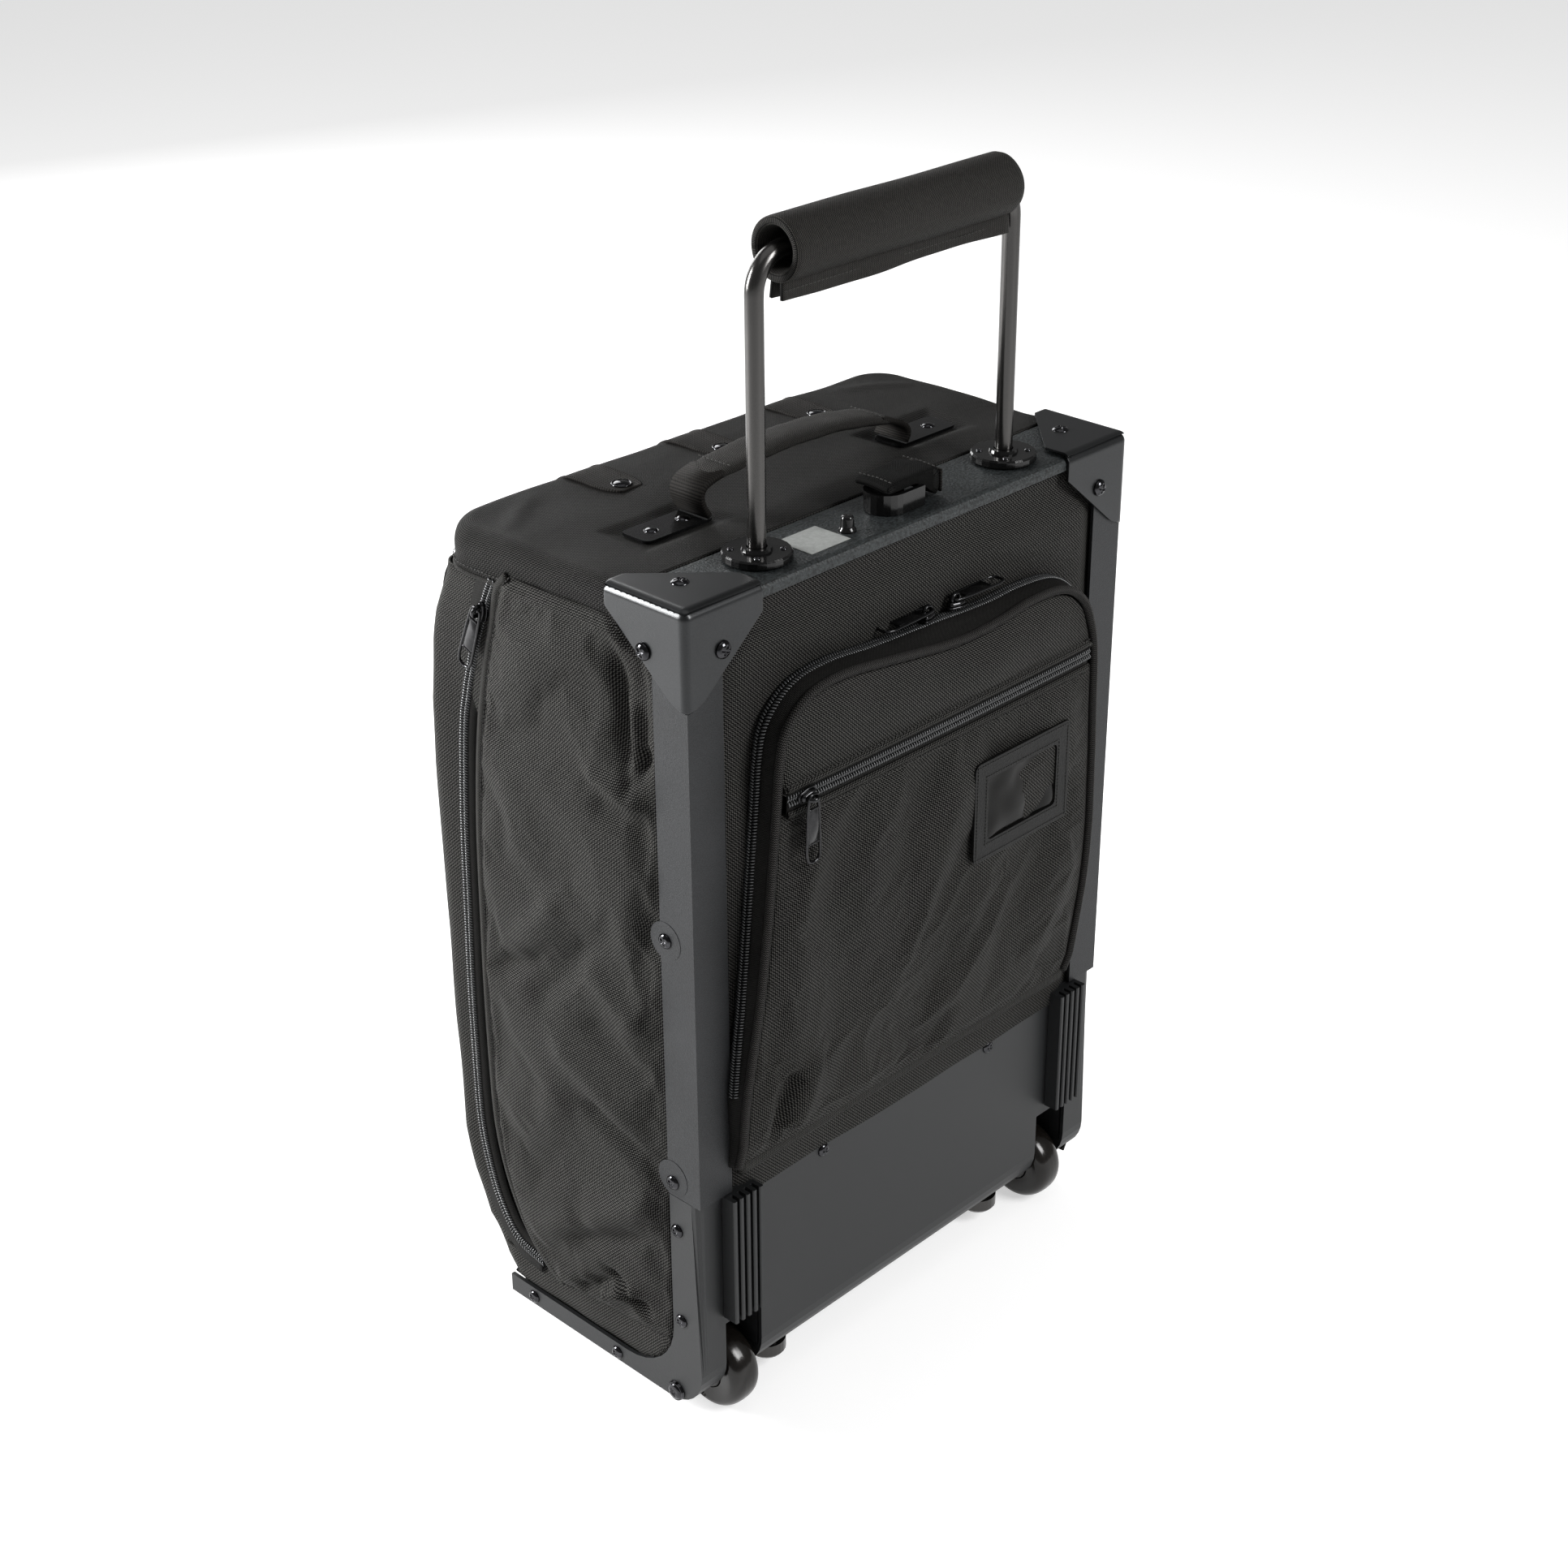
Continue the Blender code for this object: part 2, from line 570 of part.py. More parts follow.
def bag_panels():
    """The fabric body as its sewn panels, so that each is a nearly flat piece of its own."""
    edge, heel, rim, roof = PANEL_SEAMS
    inside = edge - GAP
    panels = (
        ("bag_side_left", (-0.3, -0.1, 0.0), (-edge, 0.3, 0.6)),
        ("bag_side_right", (edge, -0.1, 0.0), (0.3, 0.3, 0.6)),
        ("bag_roof", (-inside, -0.1, roof), (inside, 0.3, 0.6)),
        ("bag_rim", (-inside, heel, rim), (inside, 0.3, roof - GAP)),
        ("bag_foot", (-inside, heel, 0.0), (inside, 0.3, rim - GAP)),
        ("bag_heel", (-inside, -0.1, 0.0), (inside, heel - GAP, roof - GAP)),
    )
    for name, low, high in panels:
        shape(bag_shell(name), box(low, high), "INTERSECT")


def bag_back():
    """The fabric sheet behind the frame rails, which the back pocket is sewn to."""
    half = HALF_WIDTH - TUB_WALL - GAP
    sheet = box((-half, BAG_REAR, WELL_CLEARANCE[2]), (half, BAG_REAR + BACK_SHEET, PLATE_BOTTOM - GAP))
    solid("bag_back", sheet, "fabric")


def front_layer(name, finish, rows, start):
    """A slab that follows the bow of the front face. Each row is height, half width and depth added."""
    levels = []
    for z, half, depth in rows:
        inner = front_depth(z) + start
        outer = front_depth(z) + depth
        levels.append((z, rounded((-half, inner), (half, outer), (0.001, 0.001, 0.003, 0.003), 2)))
    return solid(name, loft(levels), finish, (0, LID_AXIS[1], LID_AXIS[2]))


def with_profile_rows(ends, half, depth):
    """Rows at the bag profile's own heights between two end lists, so that the layers stay parallel."""
    bottom, top = ends
    middle = [(z, half, depth) for z, _, _ in FRONT_PROFILE if bottom[-1][0] < z < top[0][0]]
    return [*bottom, *middle, *top]


def lid():
    bottom = [(LID_BOTTOM, 0.148, 0.004), (0.054, 0.156, LID_DEPTH), (0.060, 0.1615, LID_DEPTH)]
    top = [(0.492, LID_HALF, LID_DEPTH), (0.501, 0.158, LID_DEPTH), (0.506, 0.148, 0.004)]
    rows = with_profile_rows((bottom, top), LID_HALF, LID_DEPTH)
    front_layer("lid", "fabric", rows, 0.0006)


def front_pocket():
    bottom = [(0.080, 0.134, 0.010), (0.090, 0.140, 0.016), (0.110, POCKET_HALF, 0.019)]
    top = [(0.300, POCKET_HALF, 0.019), (0.326, 0.140, 0.014), (0.335, 0.134, 0.009)]
    rows = with_profile_rows((bottom, top), POCKET_HALF, 0.020)
    front_layer("front_pocket", "fabric", rows, LID_DEPTH + GAP)


def side_pocket(side, sign):
    """Padded side panel between the rail and the curved side zipper."""
    levels = []
    last = len(SIDE_ZIP) - 1
    for i, (z, zip_y) in enumerate(SIDE_ZIP):
        proud = 0.0015 if i in (0, last) else 0.0050
        start = HALF_WIDTH + 0.0004
        ring = rounded((start, 0.0365), (start + proud, zip_y - 0.0065), (0.0006,) * 4, 1)
        levels.append((z, ring))
    solid(f"side_pocket_{side}", mirrored(loft(levels), sign), "fabric")


def back_pocket():
    """Bellows pocket on the back, hollow and backed by the bag's own rear wall."""
    rear = BAG_REAR - GAP
    levels = []
    for z, half, depth in BACK_POCKET:
        levels.append((z, rounded((-half, depth), (half, rear), (0.002, 0.002, 0.001, 0.001), 2)))
    pocket = solid("back_pocket", loft(levels), "fabric")
    levels = []
    for z, half, depth in BACK_POCKET[1:-1]:
        low = (POCKET_WALL - half, depth + POCKET_WALL)
        high = (half - POCKET_WALL, rear + 0.01)
        levels.append((z + (0.002 if z < 0.2 else 0.0), rounded(low, high, (0.001,) * 4, 2)))
    shape(pocket, loft(levels))


def snap_tab(side, x):
    """A tab from the lid that folds over the front edge and snaps down on the top."""
    top = 0.5304
    under = [(0.140, top), (0.185, top), (0.193, 0.5265), (0.1995, 0.5155), (0.2035, 0.4960)]
    over = [(0.2057, 0.4960), (0.2017, 0.5170), (0.1945, 0.5285), (0.1860, 0.5325), (0.140, 0.5325)]
    half = 0.013
    pivot = (x, 0.2046, 0.4960)
    solid(f"snap_tab_{side}", prism([*under, *over], "X", x - half, x + half), "fabric", pivot)


def carry_handle():
    """Padded arch whose narrow webbing ends turn about the line through the two plates."""
    pivot = (0, CARRY_Y, CARRY_AXIS_Z)
    rise = ((0.0840, -0.0022), (0.0850, 0.0120), (0.0780, 0.0220), (0.0600, 0.0270), (0.0300, 0.0300))
    inner = ((0.0300, 0.0230), (0.0560, 0.0200), (0.0710, 0.0150), (0.0780, 0.0080), (0.0780, -0.0022))
    half = [*rise, (0, 0.0310)]
    outline = [(x, z + CARRY_AXIS_Z) for x, z in half]
    outline += [(-x, z + CARRY_AXIS_Z) for x, z in reversed(rise)]
    outline += [(-x, z + CARRY_AXIS_Z) for x, z in reversed(inner)]
    outline += [(0, 0.0240 + CARRY_AXIS_Z)]
    outline += [(x, z + CARRY_AXIS_Z) for x, z in inner]
    arch = prism(outline, "Y", CARRY_Y - 0.0145, CARRY_Y + 0.0145)
    handle = solid("carry_handle", arch, "padding", pivot)
    neck = 0.0022
    waist = CARRY_AXIS_Z + 0.0085
    for sign in (-1, 1):
        reach = sorted((CARRY_Y + sign * neck, CARRY_Y + sign * 0.03))
        shape(handle, box((-0.1, reach[0], 0.5), (0.1, reach[1], waist)))


def handle_plate(side, sign):
    low, high = sorted((sign * 0.0750, sign * 0.1250))
    outline = rounded((low, CARRY_Y - 0.011), (high, CARRY_Y + 0.011), (0.004,) * 4)
    solid(f"handle_plate_{side}", prism(outline, "Z", 0.5303, 0.5318), "black_metal")


# Fittings on the top plate


def strap_hook():
    """Bent flat hook lying on its edge, held down by a folded strap."""
    low = TOP + GAP
    centre = (-0.002, 0.0245)
    outer, inner = 0.0125, 0.0098
    bend = arc(centre, outer, 90, 270, 10)
    back = arc(centre, inner, 270, 90, 10)
    outline = [(0.024, centre[1] + outer), *bend, (0.016, centre[1] - outer), (0.016, centre[1] - inner)]
    outline += [*back, (0.024, centre[1] + inner)]
    solid("strap_hook", prism(outline, "Z", low, low + 0.0115), "gloss_plastic")
    over = low + 0.0115 + GAP
    band = [(-0.012, over), (0.0265, over), (0.0265, low), (0.0290, low), (0.0300, over + 0.0012)]
    band += [(0.0275, over + 0.0028), (-0.010, over + 0.0034), (-0.013, over + 0.0020)]
    solid("hook_strap", prism(band, "Y", 0.0105, 0.0385), "webbing")


def id_window():
    low, high = (0.024, 0.316), (0.110, 0.380)
    front, back = -0.0232, -0.0214
    border = 0.012
    frame = solid("id_window_frame", prism(rounded(low, high, (0.004,) * 4), "Y", front, back), "leather")
    sight = rounded((low[0] + border, low[1] + border), (high[0] - border, high[1] - border), (0.003,) * 4)
    shape(frame, prism(sight, "Y", -0.1, 0.1))


# Zipper sliders and pulls. Each is modelled standing on the XY plane, running along +X, pull first.


def slider_mesh():
    half, back = 0.5 * SLIDER_LENGTH, 0.5 * SLIDER_WIDTH
    outline = [(-half, -back), (0.3 * half, -back), (half, -0.55 * back)]
    outline += [(a, -b) for a, b in reversed(outline)]
    return prism(outline, "Z", 0, SLIDER_HEIGHT)


def pull_mesh():
    """A flat tab with a slot, starting at the pivot and running towards -X."""
    half = 0.5 * PULL_WIDTH
    outline = [(-PULL_LENGTH + half + a, b) for a, b in arc((0, 0), half, 90, 270, 6)]
    outline += [(PULL_STUB, -0.6 * half), (PULL_STUB, 0.6 * half)]
    return prism(outline, "Z", -0.5 * PULL_SHEET, 0.5 * PULL_SHEET)


def on_face(bm, place, along, outward):
    """A mesh modelled on the XY plane, set down on a face with its +X along the given direction."""
    x_axis, z_axis = Vector(along).normalized(), Vector(outward).normalized()
    turn = Matrix((x_axis, z_axis.cross(x_axis), z_axis)).transposed()
    bmesh.ops.rotate(bm, cent=(0, 0, 0), matrix=turn, verts=bm.verts)
    bmesh.ops.translate(bm, verts=bm.verts, vec=place)
    return bm


def zip_slider(name, place, along, outward, hang=None):
    """Slider at a place on a face, with its pull hinged on top and lying away from hang."""
    pivot = Vector(place) + Vector(outward) * (SLIDER_HEIGHT + PULL_LIFT + 0.5 * PULL_SHEET)
    solid(f"{name}_slider", on_face(slider_mesh(), place, along, outward), "black_metal", place)
    solid(f"{name}_pull", on_face(pull_mesh(), pivot, hang or along, outward), "black_metal", pivot)


def zip_sliders():
    for side, sign in SIDES:
        face = HALF_WIDTH + 0.0005
        zip_slider(f"side_{side}", (sign * face, 0.1560, 0.4890), (0, -0.019, 0.050), (sign, 0, 0))
        arch_x = 0.0135 + sign * 0.0115
        zip_slider(f"arch_{side}", (arch_x, -0.0035, 0.4725), (-sign, 0, 0), (0, 0, 1))
    zip_slider("back", (-0.1130, -0.0203, BACK_ZIP_Z), (-1, 0, 0), (0, -1, 0), (0, 0, 1))
    zip_slider("lid", (0.1560, 0.2135, 0.4600), (0, 0, 1), (0, 1, 0))


def build():
    for side, sign in SIDES:
        frame_rail(side, sign)
        corner_guard(side, sign)
        wheel_housing(side, sign)
        skid_guard(side, sign)
        front_foot(side, sign)
        wheel(side, sign)
        guide_tube(side, sign)
        side_pocket(side, sign)
        handle_plate(side, sign)
    for side, x in TAB_XS:
        snap_tab(side, x)
    top_plate()
    base_tub()
    pull_rod()
    grip_wrap()
    release_button()
    bag_panels()
    bag_back()
    lid()
    front_pocket()
    back_pocket()
    carry_handle()
    strap_hook()
    id_window()
    zip_sliders()


clear_scene()
RIG = make_rig()
build()
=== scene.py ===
import math

import bmesh
import bpy
import numpy as np
from mathutils import Matrix, Vector, noise


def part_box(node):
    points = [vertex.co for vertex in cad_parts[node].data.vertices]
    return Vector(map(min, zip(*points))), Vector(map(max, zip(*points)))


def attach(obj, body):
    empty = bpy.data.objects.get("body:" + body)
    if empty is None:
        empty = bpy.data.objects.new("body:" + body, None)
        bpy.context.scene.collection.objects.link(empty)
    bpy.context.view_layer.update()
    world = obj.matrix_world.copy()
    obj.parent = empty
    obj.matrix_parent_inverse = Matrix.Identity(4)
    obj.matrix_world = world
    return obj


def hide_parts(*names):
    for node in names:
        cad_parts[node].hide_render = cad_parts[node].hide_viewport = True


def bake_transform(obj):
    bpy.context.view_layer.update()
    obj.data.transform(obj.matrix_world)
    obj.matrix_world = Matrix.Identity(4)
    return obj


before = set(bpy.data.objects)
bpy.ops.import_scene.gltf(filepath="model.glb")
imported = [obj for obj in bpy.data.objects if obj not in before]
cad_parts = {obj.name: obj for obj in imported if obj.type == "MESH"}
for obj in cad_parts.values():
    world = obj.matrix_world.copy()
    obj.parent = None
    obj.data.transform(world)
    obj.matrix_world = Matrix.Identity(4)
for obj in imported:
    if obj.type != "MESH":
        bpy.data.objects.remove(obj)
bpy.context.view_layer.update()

# Positions are written in the case's own depth, where y = 0 is the rear face of the frame rails.
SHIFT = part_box("frame_rail_left")[0].y
TUB_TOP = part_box("base_tub")[1].z
PLATE_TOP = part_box("top_plate")[1].z
HALF = 0.178
SIDES = (("left", -1), ("right", 1))
TOOTH_PITCH = 0.0018


# Camera and light

def make_camera():
    data = bpy.data.cameras.new("camera")
    data.lens, data.sensor_width = 59.231, 36.0
    obj = bpy.data.objects.new("camera", data)
    bpy.context.scene.collection.objects.link(obj)
    forward = Vector((0.6373, 0.6161, -0.4629)).normalized()
    right = forward.cross(Vector((0, 0, 1))).normalized()
    up = right.cross(forward)
    roll = math.radians(-0.41)
    side = right * math.cos(roll) + up * math.sin(roll)
    top = up * math.cos(roll) - right * math.sin(roll)
    place = Matrix((side, top, -forward)).transposed().to_4x4()
    place.translation = Vector((-0.98302, -0.84555 + SHIFT, 1.04688))
    obj.matrix_world = place
    bpy.context.scene.camera = obj


def area_light(name, place, target, size, power):
    data = bpy.data.lights.new(name, "AREA")
    data.shape, data.size, data.size_y, data.energy = "RECTANGLE", size[0], size[1], power
    obj = bpy.data.objects.new(name, data)
    bpy.context.scene.collection.objects.link(obj)
    obj.location = place
    obj.rotation_euler = (Vector(target) - Vector(place)).to_track_quat("-Z", "Y").to_euler()


def studio():
    middle = (0.0, 0.0, 0.33)
    area_light("softbox_left", (-1.55, 1.75, 1.20), middle, (0.6, 1.2), 98)
    area_light("softbox_right", (0.7, -2.1, 1.75), middle, (0.9, 1.2), 44)
    area_light("softbox_top", (-0.1, -0.2, 2.5), middle, (1.8, 1.8), 6)
    area_light("softbox_far", (0.8, 2.4, 1.4), middle, (1.6, 1.6), 30)
    bpy.context.scene.view_settings.view_transform = "Standard"
    bpy.context.scene.view_settings.look = "Medium High Contrast"
    world = bpy.data.worlds.new("studio")
    bpy.context.scene.world = world
    world.use_nodes = True
    back = world.node_tree.nodes["Background"]
    back.inputs["Color"].default_value = (1.0, 1.0, 1.0, 1.0)
    back.inputs["Strength"].default_value = 0.20
    mesh = bpy.data.meshes.new("floor")
    reach = 40.0
    mesh.from_pydata([(-reach, -reach, 0), (reach, -reach, 0), (reach, reach, 0), (-reach, reach, 0)],
                     [], [(0, 1, 2, 3)])
    floor = bpy.data.objects.new("floor", mesh)
    bpy.context.scene.collection.objects.link(floor)
    n = Nodes("floor", 0.75)
    n.shader.inputs["Base Color"].default_value = (0.66, 0.66, 0.66, 1)
    n.shader.inputs["Emission Color"].default_value = (1, 1, 1, 1)
    n.shader.inputs["Emission Strength"].default_value = 0.46
    mesh.materials.append(n.material)
    backdrop()


def backdrop():
    """Pale surround past the floor's edge, which lights nothing and throws no shadow."""
    bm = bmesh.new()
    bmesh.ops.create_uvsphere(bm, u_segments=48, v_segments=24, radius=62.0)
    mesh = bpy.data.meshes.new("backdrop")
    bm.to_mesh(mesh)
    bm.free()
    obj = bpy.data.objects.new("backdrop", mesh)
    bpy.context.scene.collection.objects.link(obj)
    obj.visible_diffuse = obj.visible_glossy = obj.visible_transmission = False
    obj.visible_shadow = obj.visible_volume_scatter = False
    n = Nodes("backdrop", 1.0, specular=0.0)
    n.shader.inputs["Base Color"].default_value = (0, 0, 0, 1)
    n.shader.inputs["Emission Color"].default_value = (1, 1, 1, 1)
    n.shader.inputs["Emission Strength"].default_value = 0.60
    mesh.materials.append(n.material)


# Materials

def rgb(*values):
    """Linear colour from 0-255 display values."""
    return tuple(((v / 255 + 0.055) / 1.055) ** 2.4 if v > 10 else v / 255 / 12.92 for v in values) + (1.0,)


class Nodes:
    """A material and short ways to build its nodes."""

    def __init__(self, name, roughness=0.5, metallic=0.0, sheen=0.0, coat=0.0, specular=0.5):
        self.material = bpy.data.materials.new(name)
        self.material.use_nodes = True
        self.tree = self.material.node_tree
        self.shader = self.tree.nodes["Principled BSDF"]
        settings = {"Roughness": roughness, "Metallic": metallic, "Sheen Weight": sheen,
                    "Coat Weight": coat, "Specular IOR Level": specular}
        for key, value in settings.items():
            self.shader.inputs[key].default_value = value
        self.object_coords = self.tree.nodes.new("ShaderNodeTexCoord").outputs["Object"]

    def feed(self, socket, value):
        if isinstance(value, bpy.types.NodeSocket):
            self.tree.links.new(value, socket)
        else:
            socket.default_value = value

    def set(self, key, value):
        self.feed(self.shader.inputs[key], value)

    def math(self, operation, *values):
        node = self.tree.nodes.new("ShaderNodeMath")
        node.operation = operation
        for socket, value in zip(node.inputs, values):
            self.feed(socket, value)
        return node.outputs[0]

    def attribute(self, name="weave"):
        node = self.tree.nodes.new("ShaderNodeAttribute")
        node.attribute_name = name
        parts = self.tree.nodes.new("ShaderNodeSeparateXYZ")
        self.tree.links.new(node.outputs["Vector"], parts.inputs[0])
        return parts.outputs[0], parts.outputs[1], node.outputs["Vector"]

    def noise(self, scale, detail=2.0, roughness=0.5, vector=None, stretch=None):
        vector = vector or self.object_coords
        if stretch:
            mapping = self.tree.nodes.new("ShaderNodeMapping")
            mapping.inputs["Scale"].default_value = stretch
            self.tree.links.new(vector, mapping.inputs["Vector"])
            vector = mapping.outputs[0]
        node = self.tree.nodes.new("ShaderNodeTexNoise")
        self.tree.links.new(vector, node.inputs["Vector"])
        node.inputs["Scale"].default_value = scale
        node.inputs["Detail"].default_value = detail
        node.inputs["Roughness"].default_value = roughness
        return node.outputs["Fac"]

    def voronoi(self, scale):
        node = self.tree.nodes.new("ShaderNodeTexVoronoi")
        self.tree.links.new(self.object_coords, node.inputs["Vector"])
        node.inputs["Scale"].default_value = scale
        return node.outputs["Distance"]

    def ramp(self, factor, *stops):
        node = self.tree.nodes.new("ShaderNodeValToRGB")
        elements = node.color_ramp.elements
        while len(elements) < len(stops):
            elements.new(0.5)
        for element, (position, color) in zip(elements, stops):
            element.position, element.color = position, color
        self.tree.links.new(factor, node.inputs["Fac"])
        return node.outputs["Color"]

    def spread(self, factor, low, high):
        """Factor from 0-1 to low-high."""
        node = self.tree.nodes.new("ShaderNodeMapRange")
        self.tree.links.new(factor, node.inputs["Value"])
        node.inputs["To Min"].default_value, node.inputs["To Max"].default_value = low, high
        return node.outputs["Result"]

    def blend(self, color_a, color_b, factor, kind="MIX"):
        node = self.tree.nodes.new("ShaderNodeMix")
        node.data_type, node.blend_type = "RGBA", kind
        self.feed(node.inputs["Factor"], factor)
        self.feed(node.inputs[6], color_a)
        self.feed(node.inputs[7], color_b)
        return node.outputs[2]

    def bump(self, height, distance, strength=1.0, below=None):
        node = self.tree.nodes.new("ShaderNodeBump")
        node.inputs["Distance"].default_value = distance
        node.inputs["Strength"].default_value = strength
        self.tree.links.new(height, node.inputs["Height"])
        if below:
            self.tree.links.new(below, node.inputs["Normal"])
        return node.outputs["Normal"]


def woven(name, dark, light, pitch=0.00112, roughness=0.62, depth=0.00030, bias=False, sheen=0.015, spread=0.16):
    """Plain weave: over and under cells in metres from the weave attribute."""
    n = Nodes(name, roughness, sheen=sheen, specular=0.10)
    n.shader.inputs["Sheen Roughness"].default_value = 0.45
    u, v, flat = n.attribute()
    if bias:
        u, v = n.math("ADD", u, v), n.math("SUBTRACT", u, v)
    u, v = n.math("DIVIDE", u, pitch), n.math("DIVIDE", v, pitch)
    cell_u, cell_v = n.math("FLOOR", u), n.math("FLOOR", v)
    parity = n.math("ABSOLUTE", n.math("MODULO", n.math("ADD", cell_u, cell_v), 2.0))
    arch_u = n.math("SINE", n.math("MULTIPLY", n.math("FRACT", u), math.pi))
    arch_v = n.math("SINE", n.math("MULTIPLY", n.math("FRACT", v), math.pi))
    warp = n.math("MULTIPLY", n.math("SQRT", n.math("MAXIMUM", arch_u, 0.0)), n.math("MULTIPLY_ADD", arch_v, 0.6, 0.4))
    weft = n.math("MULTIPLY", n.math("SQRT", n.math("MAXIMUM", arch_v, 0.0)), n.math("MULTIPLY_ADD", arch_u, 0.6, 0.4))
    mixer = n.tree.nodes.new("ShaderNodeMix")
    for socket, value in zip(mixer.inputs[:1] + mixer.inputs[2:4], (parity, warp, weft)):
        n.feed(socket, value)
    height = mixer.outputs[0]
    slub = n.noise(420.0, 1.0, vector=flat)
    diagonal = n.math("SINE", n.math("MULTIPLY", n.math("ADD", u, v), math.pi))
    # Colour follows thread height: thread tops lighter as painted highlight, the gaps between threads darker as painted
    # shade; slub noise and the diagonal term add to it.
    tone = n.math("ADD", n.math("MULTIPLY", height, 0.66), n.math("MULTIPLY", slub, 0.12))
    tone = n.math("ADD", tone, n.math("MULTIPLY_ADD", diagonal, 0.15, 0.12))
    color = n.ramp(tone, (0.54, dark), (0.95, light))
    cloud = n.spread(n.noise(9.0, 3.0, 0.6), 1.0 - spread, 1.0 + spread)
    tint = n.tree.nodes.new("ShaderNodeVectorMath")
    tint.operation = "SCALE"
    n.tree.links.new(color, tint.inputs[0])
    n.tree.links.new(cloud, tint.inputs["Scale"])
    n.set("Base Color", tint.outputs[0])
    n.set("Roughness", n.spread(height, roughness + 0.10, roughness - 0.10))
    soft = n.bump(n.noise(60.0, 2.0), 0.0006, 0.35)
    n.set("Normal", n.bump(height, depth, 0.9, soft))
    return n.material


def ribbed(name, dark, light, pitch, roughness=0.6, sheen=0.03):
    """Webbing: ribs across its length with a fine diagonal in each."""
    n = Nodes(name, roughness, sheen=sheen, specular=0.12)
    u, v, flat = n.attribute()
    rib = n.math("ABSOLUTE", n.math("SINE", n.math("MULTIPLY", u, math.pi / pitch)))
    fine = n.math("ABSOLUTE", n.math("SINE", n.math("MULTIPLY", n.math("ADD", u, v), math.pi / (pitch * 0.9))))
    height = n.math("ADD", n.math("MULTIPLY", rib, 0.7), n.math("MULTIPLY", fine, 0.3))
    height = n.math("ADD", height, n.math("MULTIPLY", n.noise(700.0, 1.0, vector=flat), 0.25))
    # Colour follows rib height: rib tops lighter as painted highlight, the troughs darker as painted shade.
    n.set("Base Color", n.ramp(height, (0.15, dark), (1.0, light)))
    n.set("Normal", n.bump(height, 0.0003, 0.9))
    return n.material


def moulded(name, dark, light, roughness, grain, depth, metallic=0.0, coat=0.0, specular=0.5, scuff=0.06):
    """Painted metal or plastic: fine grain, slow tone changes and slightly uneven gloss."""
    n = Nodes(name, roughness, metallic, coat=coat, specular=specular)
    if coat:
        n.shader.inputs["Coat Roughness"].default_value = 0.08
    speck = n.noise(grain, 2.0, 0.6)
    slow = n.noise(14.0, 3.0, 0.55)
    tone = n.math("ADD", n.math("MULTIPLY", speck, 0.55), n.math("MULTIPLY", slow, 0.45))
    n.set("Base Color", n.ramp(tone, (0.32, dark), (0.68, light)))
    n.set("Roughness", n.spread(slow, roughness - scuff, roughness + scuff))
    n.set("Normal", n.bump(speck, depth, 0.8))
    return n.material


def hammered(name, dark, light):
    n = Nodes(name, 0.5, specular=0.5)
    lumps, fine = n.noise(620.0, 2.0, 0.55), n.noise(1500.0, 1.0)
    tone = n.math("ADD", n.math("MULTIPLY", lumps, 0.7), n.math("MULTIPLY", fine, 0.3))
    n.set("Base Color", n.ramp(tone, (0.36, dark), (0.60, light)))
    n.set("Roughness", n.spread(lumps, 0.60, 0.42))
    n.set("Normal", n.bump(lumps, 0.0005, 0.8))
    return n.material


def grained(name, dark, light):
    """Leather: small cells with creases between them."""
    n = Nodes(name, 0.42, specular=0.25)
    cells, fine = n.voronoi(900.0), n.noise(1800.0, 1.0)
    tone = n.math("ADD", n.math("MULTIPLY", cells, 0.8), n.math("MULTIPLY", fine, 0.3))
    n.set("Base Color", n.ramp(tone, (0.2, light), (0.9, dark)))
    n.set("Roughness", n.spread(n.noise(40.0), 0.36, 0.50))
    n.set("Normal", n.bump(tone, -0.00015, 0.7))
    return n.material


def clear_film(name):
    n = Nodes(name, 0.2, specular=0.18)
    wave = n.noise(26.0, 2.0)
    n.set("Base Color", n.ramp(wave, (0.3, rgb(16, 16, 15)), (0.7, rgb(24, 23, 22))))
    n.set("Roughness", n.spread(n.noise(55.0), 0.10, 0.22))
    n.set("Normal", n.bump(wave, 0.002, 0.5))
    return n.material


# Fabric colours: the near-black gap colour is painted shade between threads, the light colour painted highlight on
# thread tops.
FABRIC_SHADED_GAP, FABRIC_LIT_THREAD = rgb(2, 2, 2), rgb(98, 97, 94)
M = {}


